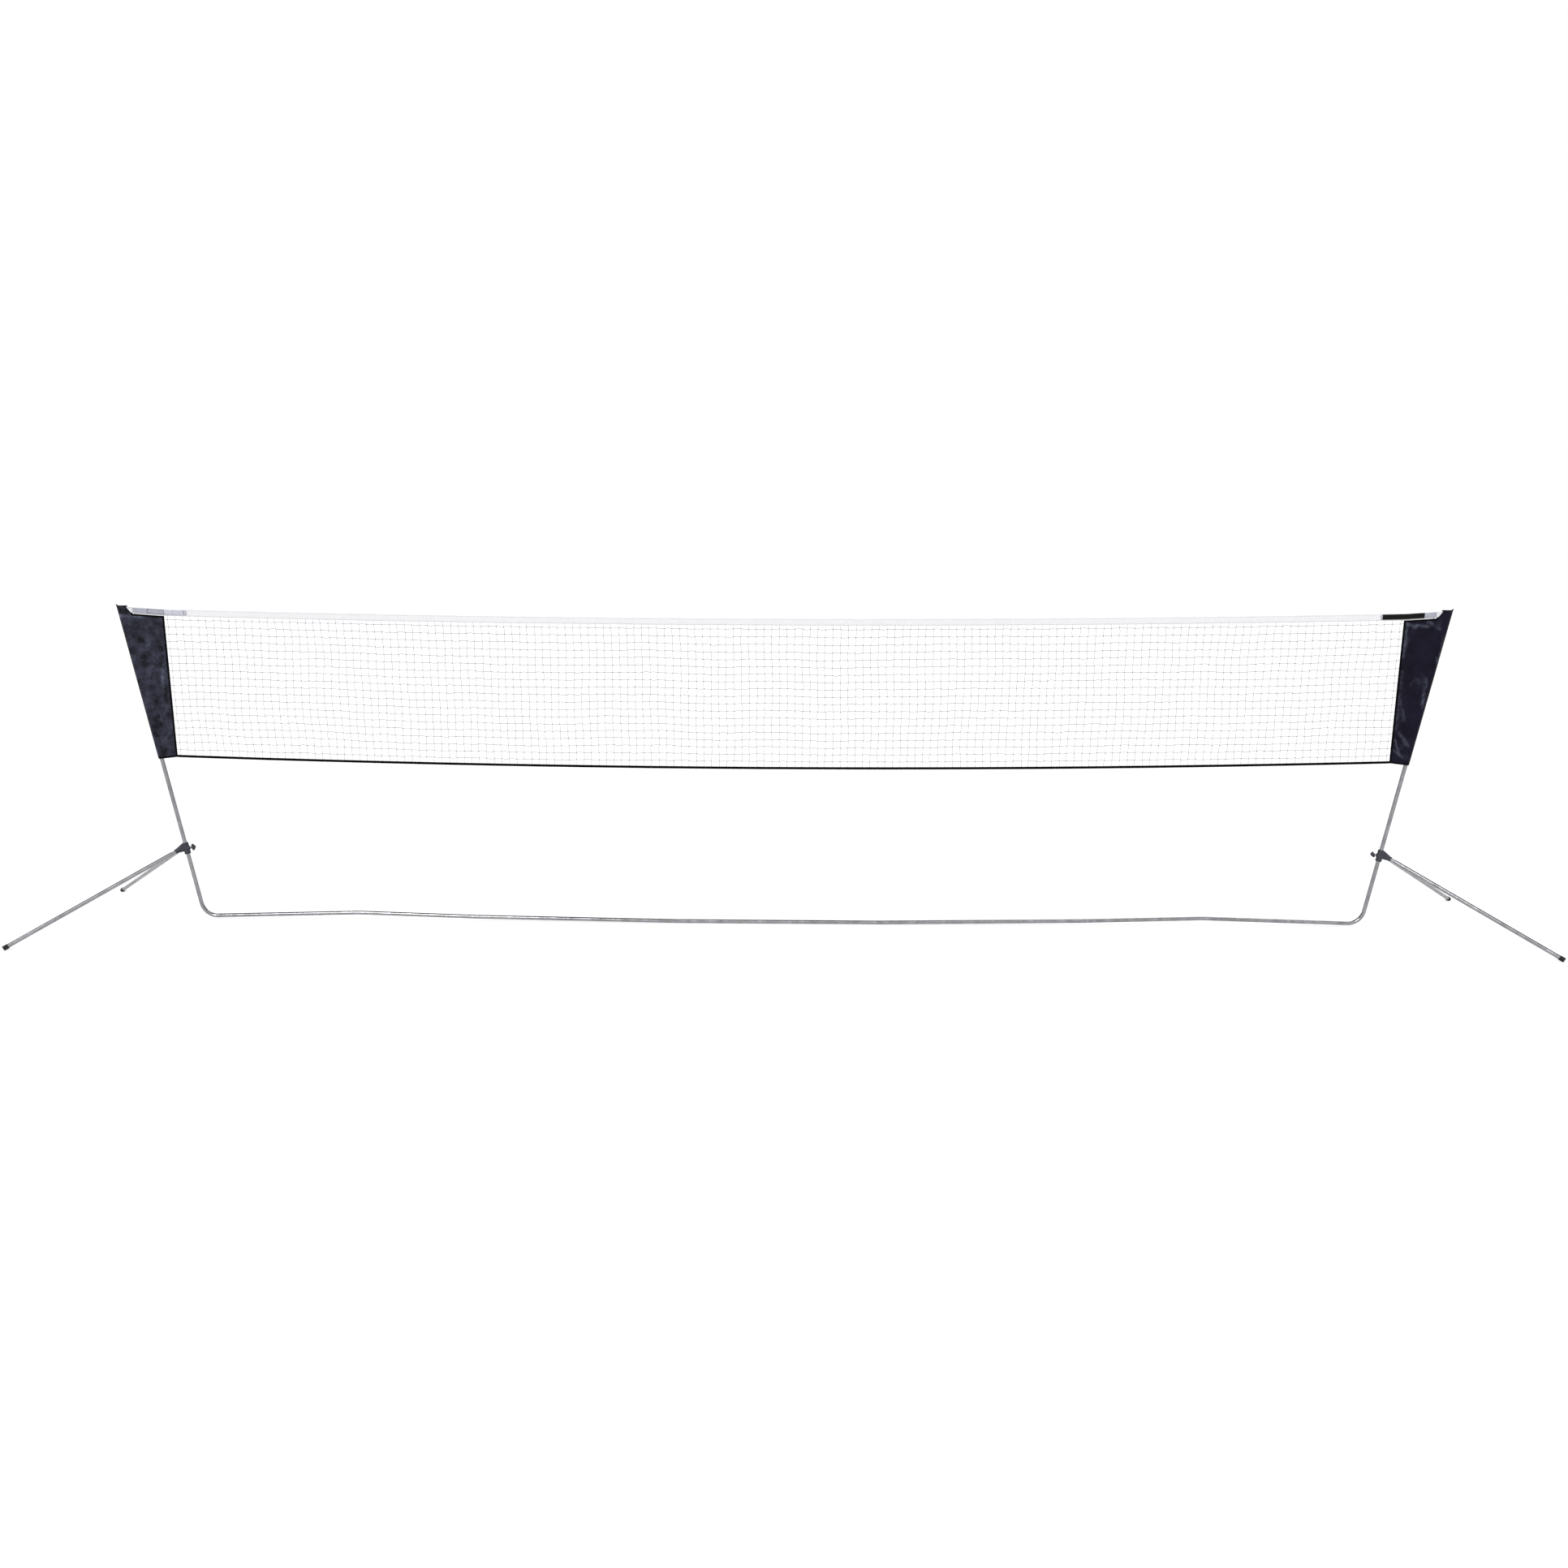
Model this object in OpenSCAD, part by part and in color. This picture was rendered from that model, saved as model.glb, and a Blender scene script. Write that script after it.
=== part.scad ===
// Free-standing leisure net: a steel ground rail, two leaning poles on splayed legs,
// and a knotted net held between two fabric sleeves that slip over the poles.
// Origin on the ground under the middle of the net, +X along the net, +Z up.

/* [Rail] */
// Outer diameter of every steel tube
tube_d = 19; // [16:0.5:22]
// Wall of the steel tube
tube_wall = 1.2; // [1:0.1:1.6]
// Length of one rail tube, from joint to joint
rail_pitch = 1005; // [700:5:1300]
// Angle by which the play in each inner joint tips the next tube up
joint_tip = 0.85; // [0:0.05:1.5]
// Distance from the last inner joint to the kink in the outer rail tube
kink_at = 575; // [400:5:650]
// Bend of the kink
kink_bend = 3.3; // [1:0.1:5]
// Radius of the kink
kink_r = 300; // [200:10:500]
// Straight length of the corner tube before its bend
stub_len = 290; // [200:2:400]
// Radius of the corner bend, to the tube's middle
corner_r = 75; // [55:1:100]
// Groove left between two tubes at an inner joint
joint_gap = 2; // [1:0.5:4]
// Groove left where the rail meets a corner tube
corner_gap = 6; // [2:0.5:8]

/* [Poles] */
// Outward lean of the poles from upright
pole_lean = 9.9; // [4:0.1:14]
// Height at which the corner tube passes into the upper pole
pole_joint_z = 900; // [850:5:1100]
// Height of the top of the pole
pole_top_z = 1544; // [1400:1:1700]
// Length of a swaged spigot inside its socket
spigot_len = 45; // [30:1:60]
// Radial clearance of a spigot in the tube that it enters
spigot_gap = 0.3; // [0.1:0.05:0.6]
// Head thickness of the plastic plug in the pole's top
plug_head = 4; // [2:0.5:6]

/* [Net] */
// Half the width of the net, to its seam with the sleeve
net_half = 2927; // [2600:1:3100]
// Drop from the pole's top to the middle of the net's top line
net_drop = 74; // [60:1:200]
// Rise of the top line from the middle to the seam
top_sag = 34; // [10:1:70]
// Height of the net's bottom line in the middle
net_bottom_z = 789; // [600:1:900]
// Rise of the bottom line from the middle to the seam
bottom_sag = 44; // [10:1:70]
// Columns of the net, each several real meshes wide
net_cols = 48; // [24:2:60]
// Rows of the net, each several real meshes high
net_rows = 6; // [3:1:8]
// Width and thickness of a strand
strand = 3; // [2:0.5:5]
// Height of the white top tape
top_tape_h = 35; // [25:1:50]
// Thickness of the folded top tape
top_tape_t = 2.4; // [1.6:0.2:4]
// Height of the black bottom tape
bottom_tape_h = 8; // [6:0.5:15]
// Thickness of the folded bottom tape
bottom_tape_t = 4; // [3:0.5:6]

/* [Sleeves and straps] */
// Rise of the sleeve's pocket over the pole's top
pocket_rise = 8; // [7:0.5:20]
// Height of the sleeve's lower edge at the pole
sleeve_bottom_z = 817; // [700:1:950]
// Half the height of the mouth's slanted edge, which lets the strap in
mouth_rise = 19; // [12:1:25]
// Distance from the pole's middle to the inner end of the pocket's flat top
pocket_flat = 28; // [20:1:35]
// Distance from the pole's middle to the foot of the slanted edge
pocket_mouth = 50; // [42:1:56]
// Thickness of one layer of sleeve fabric
fabric_t = 0.8; // [0.5:0.1:1.2]
// Clearance between the strap round the pole and the pocket's bore
pocket_gap = 0.6; // [0.3:0.1:3]
// Depth of the pocket, from the pole's middle towards the net
pocket_depth = 60; // [56:1:80]
// Width of the stitched seam outside the pole
outer_seam = 15.2; // [14:0.1:20]
// Width of the webbing strap
strap_h = 25; // [20:1:30]
// Thickness of the webbing strap
strap_t = 1.5; // [1:0.1:2]
// Distance from the middle of the net to the strap's free end
strap_end = 2815; // [2600:5:2900]
// Distance from the middle of the net to the end of the hook tab
hook_end = 3018; // [2900:2:3060]
// Thickness of the hook and loop tape
patch_t = 1.2; // [0.8:0.1:2]

/* [Leg clamps] */
// Height at which the legs' axes meet the pole
clamp_z = 378; // [250:1:500]
// Length of the clamp's collar along the pole
collar_h = 57; // [40:1:70]
// Outer radius of the collar
collar_r = 14.2; // [13:0.1:17]
// Radial running clearance of the collar on the pole
collar_gap = 0.1; // [0.05:0.01:0.1]
// Distance that the collar's middle lies below the meeting point of the legs' axes
collar_drop = 11; // [0:1:20]
// Distance from the pole's axis to the mouth of a leg socket
socket_reach = 54; // [48:1:70]
// Outer radius of a leg socket
socket_r = 11.6; // [11:0.1:14]
// Depth of a leg socket
socket_depth = 33; // [25:1:36]
// Radius of the boss for the wing screw
boss_r = 8.4; // [7.6:0.1:10]
// Distance from the pole's axis to the face of the boss
boss_reach = 18; // [17:0.5:22]
// Distance across the flats of the captive nut
nut_af = 10; // [9:0.5:11]
// Thickness of the captive nut
nut_t = 5; // [4:0.5:5]
// Diameter of the wing screw's stud
stud_d = 6; // [5:0.5:6]
// Radial running clearance of the stud in the nut and of the knob on the stud
stud_gap = 0.05; // [0.02:0.01:0.1]
// Distance from the pole's axis to the inner end of the knob
knob_in = 25; // [23:0.5:30]
// Length of the knob along its screw
knob_len = 21; // [16:0.5:26]
// Span of the knob's wings
knob_span = 34; // [26:1:42]
// Thickness of the knob's wings
wing_t = 5.5; // [4:0.5:8]
// Turn at which the left knob was left
left_knob_turn = 0; // [0:5:180]
// Turn at which the right knob was left
right_knob_turn = 55; // [0:5:180]

/* [Legs] */
// Angle between the two legs of a clamp, seen from above
leg_splay = 74.6; // [60:0.2:90]
// Angle by which a leg drops below level
leg_drop = 25; // [20:0.2:32]
// Length of thin leg spigot that shows outside its socket
neck_len = 19; // [10:1:25]
// Radius of the leg's spigot
neck_r = 7.9; // [7:0.1:8]
// Radial clearance of the leg's spigot in its socket
neck_gap = 0.15; // [0.1:0.05:0.3]
// Wall of the rubber foot round the leg
foot_wall = 1.7; // [1:0.1:3]
// Length of the rubber foot
foot_len = 23; // [18:1:35]
// Thickness of the rubber foot's end
foot_end = 5; // [3:0.5:8]
// Depth by which the foot is cut flat where it stands
foot_flat = 2.5; // [1:0.1:4]

/* [Hidden] */
$fn = 48;
tube_r = tube_d / 2;
bore_r = tube_r - tube_wall;
spigot_r = bore_r - spigot_gap;
spigot_wall = 1.2;
shoulder = 4;
strap_gap = 0.4;
net_top_z = pole_top_z - net_drop;
pocket_top_z = pole_top_z + pocket_rise;
pocket_r = tube_r + strap_gap + strap_t + pocket_gap;
bend_draw = 0.15;
bend_lap = 1;
over = 1;

steel = [0.62, 0.62, 0.64];
bright_steel = [0.78, 0.78, 0.80];
charcoal = [0.24, 0.25, 0.28];
black = [0.09, 0.09, 0.09];
navy = [0.19, 0.18, 0.26];
white = [0.95, 0.95, 0.96];
pale_grey = [0.80, 0.81, 0.84];

// A place on the frame is [x, z, heading], in the plane of the net.
function ahead(p, d) = [p.x + d * cos(p.z), p.y + d * sin(p.z), p.z];
function turned(p, b) = [p.x, p.y, p.z + b];
function side(p) = [-sin(p.z), cos(p.z)];
function arc_centre(p, r, b) = [p.x, p.y] + sign(b) * r * side(p);
function after_arc(p, r, b) =
    let (c = arc_centre(p, r, b), e = turned(p, b))
    let (q = c - sign(b) * r * side(e))
    [q.x, q.y, e.z];

// The right half of the frame, joint by joint; the left half is its mirror image.
joint_1 = [rail_pitch / 2, tube_r, joint_tip];
joint_2 = turned(ahead(joint_1, rail_pitch), joint_tip);
kink = ahead(joint_2, kink_at);
kink_out = after_arc(kink, kink_r, -kink_bend);
kink_rest = rail_pitch - kink_at - kink_r * kink_bend * PI / 180;
joint_3 = ahead(kink_out, kink_rest);
corner = ahead(joint_3, stub_len);
corner_turn = 90 - pole_lean - corner.z;
corner_out = after_arc(corner, corner_r, corner_turn);
function on_pole(z) = ahead(corner_out, (z - corner_out.y) / sin(corner_out.z));
function pole_x(z) = on_pole(z).x;
pole_joint = on_pole(pole_joint_z);
pole_top = on_pole(pole_top_z);

// Top and bottom lines of the net
tape_slope = 0.066;
function top_z(x) =
    abs(x) <= net_half ? net_top_z + top_sag * pow(x / net_half, 2)
    : net_top_z + top_sag + tape_slope * (abs(x) - net_half);
function bottom_z(x) = net_bottom_z + bottom_sag * pow(x / net_half, 2);

// ---- helpers -------------------------------------------------------------

// Everything is drawn for the right side and mirrored for the left.
module on(s) {
    if (s > 0)
        children();
    else
        mirror([1, 0, 0])
            children();
}

// Turns a child that stands on +Z at the origin to point along the place's heading.
module at(p) {
    translate([p.x, 0, p.y])
        rotate([0, 90 - p.z, 0])
            children();
}

module ring(r_out, r_in, h) {
    difference() {
        cylinder(r = r_out, h = h);
        translate([0, 0, -over])
            cylinder(r = r_in, h = h + 2 * over);
    }
}

module tube(length) {
    ring(tube_r, bore_r, length);
}

// A stretch of tube bent by b degrees, from place p. Bending draws the wall in a little,
// so each end of the bend sits inside the wall of the straight tube that it runs into.
module bend(p, r, b) {
    c = arc_centre(p, r, b);
    lap = bend_lap / r * 180 / PI;
    translate([c.x, 0, c.y])
        rotate([90, 0, 0])
            rotate([0, 0, (b > 0 ? p.z - 90 : p.z + 90 + b) - lap])
                rotate_extrude(angle = abs(b) + 2 * lap, $fn = 96)
                    translate([r, 0])
                        difference() {
                            circle(r = tube_r - bend_draw);
                            circle(r = bore_r + bend_draw);
                        }
}

// The thin end of a tube: a shoulder inside the tube's own wall, a short cone, then the spigot
module spigot(out_r, length) {
    in_r = out_r - spigot_wall;
    grip_r = tube_r - tube_wall / 2;
    rotate_extrude()
        polygon([
            [in_r, -shoulder], [grip_r, -shoulder], [grip_r, -0.4],
            [out_r, 1.4], [out_r, length - 1], [out_r - 0.8, length], [in_r, length]
        ]);
}

// ---- frame ---------------------------------------------------------------

module rail_centre() {
    inner = joint_1.x - joint_gap / 2;
    color(steel)
        translate([-inner, 0, tube_r])
            rotate([0, 90, 0])
                tube(2 * inner);
}

// The spigot lies along the tube that it enters, so the play in the joint shows as a tipped tube.
module rail_inner(s) {
    color(steel)
        on(s) {
            at(ahead(joint_1, joint_gap / 2))
                tube(rail_pitch - joint_gap);
            at([joint_1.x + joint_gap / 2, joint_1.y, 180])
                spigot(spigot_r, spigot_len);
        }
}

module rail_outer(s) {
    color(steel)
        on(s) {
            at(ahead(joint_2, joint_gap / 2))
                tube(kink_at - joint_gap / 2);
            bend(kink, kink_r, -kink_bend);
            at(kink_out)
                tube(kink_rest - corner_gap / 2);
            at(turned(ahead(joint_2, joint_gap / 2), 180 - joint_tip))
                spigot(spigot_r, spigot_len);
        }
}

module corner_tube(s) {
    color(steel)
        on(s) {
            at(ahead(joint_3, corner_gap / 2))
                tube(stub_len - corner_gap / 2);
            at(turned(ahead(joint_3, corner_gap / 2), 180))
                spigot(spigot_r, spigot_len);
            bend(corner, corner_r, corner_turn);
            at(corner_out)
                tube(norm([pole_joint.x - corner_out.x, pole_joint.y - corner_out.y]) - joint_gap / 2);
            at(ahead(pole_joint, -joint_gap / 2))
                spigot(spigot_r, spigot_len);
        }
}

module pole_top(s) {
    length = norm([pole_top.x - pole_joint.x, pole_top.y - pole_joint.y]) - joint_gap / 2;
    color(steel)
        on(s)
            at(ahead(pole_joint, joint_gap / 2))
                tube(length);
}

// Plastic plug pressed into the pole's top: a domed head over a ribbed hollow stem
module pole_plug(s) {
    stem_len = 18;
    stem_wall = 1.6;
    dome_edge = 1.5;
    color(black)
        on(s)
            at(pole_top)
                rotate_extrude()
                    polygon([
                        [0, 0], [bore_r - stem_wall, 0], [bore_r - stem_wall, -stem_len],
                        [bore_r - 0.6, -stem_len], [bore_r - 0.2, -stem_len + 3], [bore_r - 0.2, 0],
                        [tube_r, 0], [tube_r, plug_head - dome_edge],
                        [tube_r - dome_edge, plug_head - 0.4], [tube_r / 2, plug_head - 0.1], [0, plug_head]
                    ]);
}

// ---- net -----------------------------------------------------------------

// A closed band in the plane of the net between a lower and an upper line
module band(xs, low, high, thick) {
    n = len(xs);
    h = thick / 2;
    points = [for (i = [0:n - 1], c = [[low[i], -h], [high[i], -h], [high[i], h], [low[i], h]])
        [xs[i], c.y, c.x]];
    walls = [for (i = [0:n - 2], k = [0:3])
        let (a = 4 * i + k, b = 4 * i + (k + 1) % 4)
        each [[a, b, b + 4], [a, b + 4, a + 4]]];
    last = 4 * (n - 1);
    ends = [[0, 2, 1], [0, 3, 2], [last, last + 1, last + 2], [last, last + 2, last + 3]];
    polyhedron(points = points, faces = concat(walls, ends));
}

// Column lines of the net, and the tape's stations past the seams
net_xs = [for (i = [0:net_cols]) -net_half + strand / 2 + i * (2 * net_half - strand) / net_cols];
seam_xs = [for (i = [0:net_cols]) i == 0 ? -net_half : i == net_cols ? net_half : net_xs[i]];
tape_out = pole_x(net_top_z + top_sag + top_tape_h / 2) - pocket_depth;

// The net is one solid: a pad at every crossing, and a strand from each pad to the next.
module net_mesh() {
    h = strand / 2;
    rows = net_rows + 1;
    cols = net_cols + 1;
    function line_z(x, j) =
        let (low = bottom_z(x) + h, high = top_z(x) - h)
        low + (high - low) * j / net_rows;
    // Corners of the pad at column i and row j, then the same four on the back
    points = [for (i = [0:net_cols], j = [0:net_rows], y = [-h, h], c = [[-h, -h], [h, -h], [h, h], [-h, h]])
        let (edge_x = net_xs[i] + c.x)
        [edge_x, y, j == 0 && c.y < 0 ? bottom_z(edge_x)
            : j == net_rows && c.y > 0 ? top_z(edge_x)
            : line_z(net_xs[i], j) + c.y]];
    function corner_of(i, j, back, k) = ((i * rows + j) * 2 + back) * 4 + k;
    function quad(a, b, c, d) = [[a, b, c], [a, c, d]];
    // Front and back of one flat piece between four corners, given as [i, j, k]
    function both(a, b, c, d) = concat(
        quad(corner_of(a.x, a.y, 0, a.z), corner_of(d.x, d.y, 0, d.z),
            corner_of(c.x, c.y, 0, c.z), corner_of(b.x, b.y, 0, b.z)),
        quad(corner_of(a.x, a.y, 1, a.z), corner_of(b.x, b.y, 1, b.z),
            corner_of(c.x, c.y, 1, c.z), corner_of(d.x, d.y, 1, d.z)));
    // The wall that runs front to back along the edge from a to b, with the strand on its right
    function wall(a, b) = quad(
        corner_of(a.x, a.y, 0, a.z), corner_of(a.x, a.y, 1, a.z),
        corner_of(b.x, b.y, 1, b.z), corner_of(b.x, b.y, 0, b.z));
    pads = [for (i = [0:net_cols], j = [0:net_rows]) each both([i, j, 0], [i, j, 1], [i, j, 2], [i, j, 3])];
    across = [for (i = [0:net_cols - 1], j = [0:net_rows])
        each concat(both([i, j, 1], [i + 1, j, 0], [i + 1, j, 3], [i, j, 2]),
            wall([i + 1, j, 0], [i, j, 1]), wall([i, j, 2], [i + 1, j, 3]))];
    upright = [for (i = [0:net_cols], j = [0:net_rows - 1])
        each concat(both([i, j, 3], [i, j, 2], [i, j + 1, 1], [i, j + 1, 0]),
            wall([i, j + 1, 1], [i, j, 2]), wall([i, j, 3], [i, j + 1, 0]))];
    rim = concat(
        [for (i = [0:net_cols]) each concat(wall([i, 0, 1], [i, 0, 0]), wall([i, net_rows, 3], [i, net_rows, 2]))],
        [for (j = [0:net_rows]) each concat(wall([0, j, 0], [0, j, 3]), wall([net_cols, j, 2], [net_cols, j, 1]))]);
    color(white)
        polyhedron(points = points, faces = concat(pads, across, upright, rim));
}

// Stations at both corners of every pad, so that a tape meets the net on the same faces
pad_xs = [for (x = net_xs, c = [-strand / 2, strand / 2]) x + c];

module top_tape() {
    xs = concat([-tape_out], pad_xs, [tape_out]);
    low = [for (x = xs) top_z(x)];
    high = [for (x = xs) top_z(x) + top_tape_h];
    color(white)
        band(xs, low, high, top_tape_t);
}

module bottom_tape() {
    high = [for (x = pad_xs) bottom_z(x)];
    low = [for (x = pad_xs) bottom_z(x) - bottom_tape_h];
    color(black)
        band(pad_xs, low, high, bottom_tape_t);
}

// ---- sleeves and straps ----------------------------------------------------

// Cross-section of the pocket, seen along the pole: its bore drawn in to the flat panel
module pocket_bore() {
    hull() {
        circle(r = pocket_r);
        translate([-pocket_depth, 0])
            circle(r = 3.2, $fn = 24);
    }
}

module pocket_section(inward) {
    hull() {
        circle(r = pocket_r + fabric_t);
        translate([-pocket_depth, 0])
            circle(r = 3.2 + fabric_t, $fn = 24);
        translate([outer_seam - fabric_t, 0])
            circle(r = fabric_t, $fn = 24);
    }
    translate([-inward, -fabric_t])
        square([inward - pocket_depth / 2, 2 * fabric_t]);
}

// The sleeve's outline in the plane of the net
edge_gap = 0.6;
mouth_z = top_z(pole_x(net_top_z) - pocket_mouth) - edge_gap;
sleeve_rim = [
    [net_half, bottom_z(net_half) - bottom_tape_h],
    [net_half, top_z(net_half) - edge_gap],
    [pole_x(mouth_z) - pocket_mouth, mouth_z],
    [pole_x(pocket_top_z) - pocket_flat, pocket_top_z],
    [pole_x(pocket_top_z) + outer_seam / cos(pole_lean), pocket_top_z],
    [pole_x(sleeve_bottom_z) + outer_seam / cos(pole_lean), sleeve_bottom_z],
    [pole_x(sleeve_bottom_z), sleeve_bottom_z]
];

module sleeve(s) {
    closed_top = 2.6;
    reach = pole_x(pocket_top_z) - net_half + pocket_depth;
    run = norm([pole_x(pocket_top_z) - pole_x(sleeve_bottom_z), pocket_top_z - sleeve_bottom_z]) + 160;
    start = ahead(on_pole(sleeve_bottom_z), -80);
    color(navy)
        on(s)
            difference() {
                intersection() {
                    at(start)
                        linear_extrude(run)
                            pocket_section(reach);
                    translate([0, 2 * pocket_r, 0])
                        rotate([90, 0, 0])
                            linear_extrude(4 * pocket_r)
                                polygon(sleeve_rim);
                }
                intersection() {
                    at(start)
                        linear_extrude(run)
                            pocket_bore();
                    translate([net_half, -2 * pocket_r, 0])
                        cube([reach + 100, 4 * pocket_r, pocket_top_z - closed_top]);
                }
            }
}

// The strap's route seen from above: back leg, round the pole, front leg to the free end.
// u runs from the pole towards the net, v towards the back; both are measured to the strap's middle.
strap_v = top_tape_t / 2 + strap_t / 2;
strap_r = tube_r + strap_gap + strap_t / 2;
strap_back = 118;
strap_flat = 58;
strap_z = top_z(net_half) + top_tape_h / 2 + tape_slope * (pole_x(net_top_z) - net_half);
strap_x = pole_x(strap_z);
strap_steps = 20;
strap_leave = acos(strap_r / strap_flat) + atan(strap_v / strap_flat);
strap_route = concat(
    [[strap_back, strap_v], [strap_flat + 20, strap_v], [strap_flat, strap_v]],
    [for (i = [0:strap_steps])
        let (a = strap_leave + i * (360 - 2 * strap_leave) / strap_steps)
        strap_r * [cos(a), sin(a)]],
    [[strap_flat, -strap_v], [strap_flat + 20, -strap_v], [strap_x - strap_end, -strap_v]]
);

// Height of the strap's middle above x, and the sideways shift that keeps it along the leaning pole
function strap_mid(x) = top_z(x) + top_tape_h / 2;
function lean_share(u) = u >= strap_flat ? 0 : 1 - max(0, u) / strap_flat;

module strap_band(route, thick, height) {
    n = len(route);
    dirs = [for (i = [0:n - 1])
        let (a = route[max(0, i - 1)], b = route[min(n - 1, i + 1)], d = b - a)
        d / norm(d)];
    points = [for (i = [0:n - 1], c = [[-1, -1], [1, -1], [1, 1], [-1, 1]])
        let (p = route[i] + c.x * thick / 2 * [-dirs[i].y, dirs[i].x])
        let (x = strap_x - p.x, dz = c.y * height / 2)
        [x + dz * tan(pole_lean) * lean_share(route[i].x), p.y, strap_mid(min(x, strap_x)) + dz]];
    walls = [for (i = [0:n - 2], k = [0:3])
        let (a = 4 * i + k, b = 4 * i + (k + 1) % 4)
        each [[a, b, b + 4], [a, b + 4, a + 4]]];
    last = 4 * (n - 1);
    ends = [[0, 2, 1], [0, 3, 2], [last, last + 1, last + 2], [last, last + 2, last + 3]];
    polyhedron(points = points, faces = concat(walls, ends));
}

module strap(s) {
    color(white)
        on(s)
            strap_band(strap_route, strap_t, strap_h);
}

// A flat patch on the front of the strap, between two distances from the middle of the net
module patch(x_in, x_out, layer) {
    y_in = top_tape_t / 2 + strap_t + layer * patch_t;
    steps = 6;
    xs = [for (i = [0:steps]) x_in + (x_out - x_in) * i / steps];
    low = [for (x = xs) strap_mid(x) - strap_h / 2];
    high = [for (x = xs) strap_mid(x) + strap_h / 2];
    translate([0, -y_in - patch_t / 2, 0])
        band(xs, low, high, patch_t);
}

loop_out = strap_x - strap_flat;

module loop_patch(s) {
    color(pale_grey)
        on(s)
            patch(strap_end, loop_out, 0);
}

module right_hook_tab() {
    color(black)
        patch(strap_end + 9, hook_end, 1);
}

// ---- clamps and legs -------------------------------------------------------

leg_root = on_pole(clamp_z);
collar_mid = ahead(leg_root, -collar_drop);

// Stands a child on +Z along a leg; side is -1 for the front leg and 1 for the rear leg
module along_leg(side) {
    translate([leg_root.x, 0, leg_root.y])
        rotate([0, 0, side * leg_splay / 2])
            rotate([0, 90 + leg_drop, 0])
                children();
}

leg_len = (clamp_z + foot_flat - (tube_r + foot_wall) * cos(leg_drop)) / sin(leg_drop);
leg_start = socket_reach + neck_len;

// Collar's own frame: +Z up the pole, -X towards the net
module in_collar() {
    at(collar_mid)
        children();
}

// One arm of the moulding: a web from the collar out to the socket, and a thicker rim round the mouth
module arm(side) {
    web_in = 0.7;
    rim_len = 12;
    hull() {
        in_collar()
            translate([0, 0, -collar_h * 0.21])
                cylinder(r = collar_r - web_in, h = collar_h * 0.7, $fn = 24);
        along_leg(side)
            translate([0, 0, socket_reach - rim_len])
                cylinder(r = socket_r - web_in, h = rim_len / 2, $fn = 20);
    }
    along_leg(side)
        translate([0, 0, socket_reach - rim_len])
            cylinder(r = socket_r, h = rim_len);
}

// Moulded body: a collar on the pole, two leg sockets, and a boss that holds the screw's nut
module clamp(s) {
    rim = 1.4;
    pocket_in = tube_r + 0.4;
    color(charcoal)
        on(s)
            difference() {
                union() {
                    in_collar() {
                        translate([0, 0, -collar_h / 2])
                            rotate_extrude()
                                polygon([
                                    [0, 0], [collar_r - rim, 0], [collar_r, rim],
                                    [collar_r, collar_h - rim], [collar_r - rim, collar_h], [0, collar_h]
                                ]);
                        rotate([0, -90, 0])
                            cylinder(r = boss_r, h = boss_reach);
                    }
                    arm(-1);
                    arm(1);
                }
                in_collar() {
                    cylinder(r = tube_r + collar_gap, h = 3 * collar_h, center = true);
                    rotate([0, -90, 0]) {
                        cylinder(r = nut_af / sqrt(3) + 0.1, h = pocket_in + nut_t + 0.1, $fn = 6);
                        cylinder(r = stud_d / 2 + 0.3, h = 2 * boss_reach);
                    }
                }
                for (side = [-1, 1])
                    along_leg(side)
                        translate([0, 0, socket_reach - socket_depth])
                            cylinder(r = neck_r + neck_gap, h = 2 * socket_depth);
            }
}

module clamp_nut(s) {
    color(bright_steel)
        on(s)
            in_collar()
                rotate([0, -90, 0])
                    translate([0, 0, tube_r + 0.4])
                        difference() {
                            cylinder(r = nut_af / sqrt(3), h = nut_t, $fn = 6);
                            translate([0, 0, -over])
                                cylinder(r = stud_d / 2 + stud_gap, h = nut_t + 2 * over);
                        }
}

module clamp_stud(s) {
    tip_gap = 0.1;
    tip = 1;
    length = knob_in + knob_len * 0.7 - tube_r - tip_gap;
    color(bright_steel)
        on(s)
            in_collar()
                rotate([0, -90, 0])
                    translate([0, 0, tube_r + tip_gap])
                        rotate_extrude()
                            polygon([
                                [0, 0], [stud_d / 2 - tip, 0], [stud_d / 2, tip],
                                [stud_d / 2, length], [0, length]
                            ]);
}

// Outline of the two wings, with the screw along +Y: a fan from a narrow root to a round nose
module wings() {
    tip_r = 3.2;
    tip_y = knob_len * 0.38;
    nose_r = knob_len - tip_y;
    root_r = 3.6;
    hull() {
        for (m = [-1, 1])
            translate([m * (knob_span / 2 - tip_r), tip_y])
                circle(r = tip_r);
        intersection() {
            translate([0, knob_len - nose_r])
                circle(r = nose_r);
            translate([-knob_span, tip_y])
                square([2 * knob_span, 2 * knob_len]);
        }
        translate([0, root_r])
            circle(r = root_r);
    }
}

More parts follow.
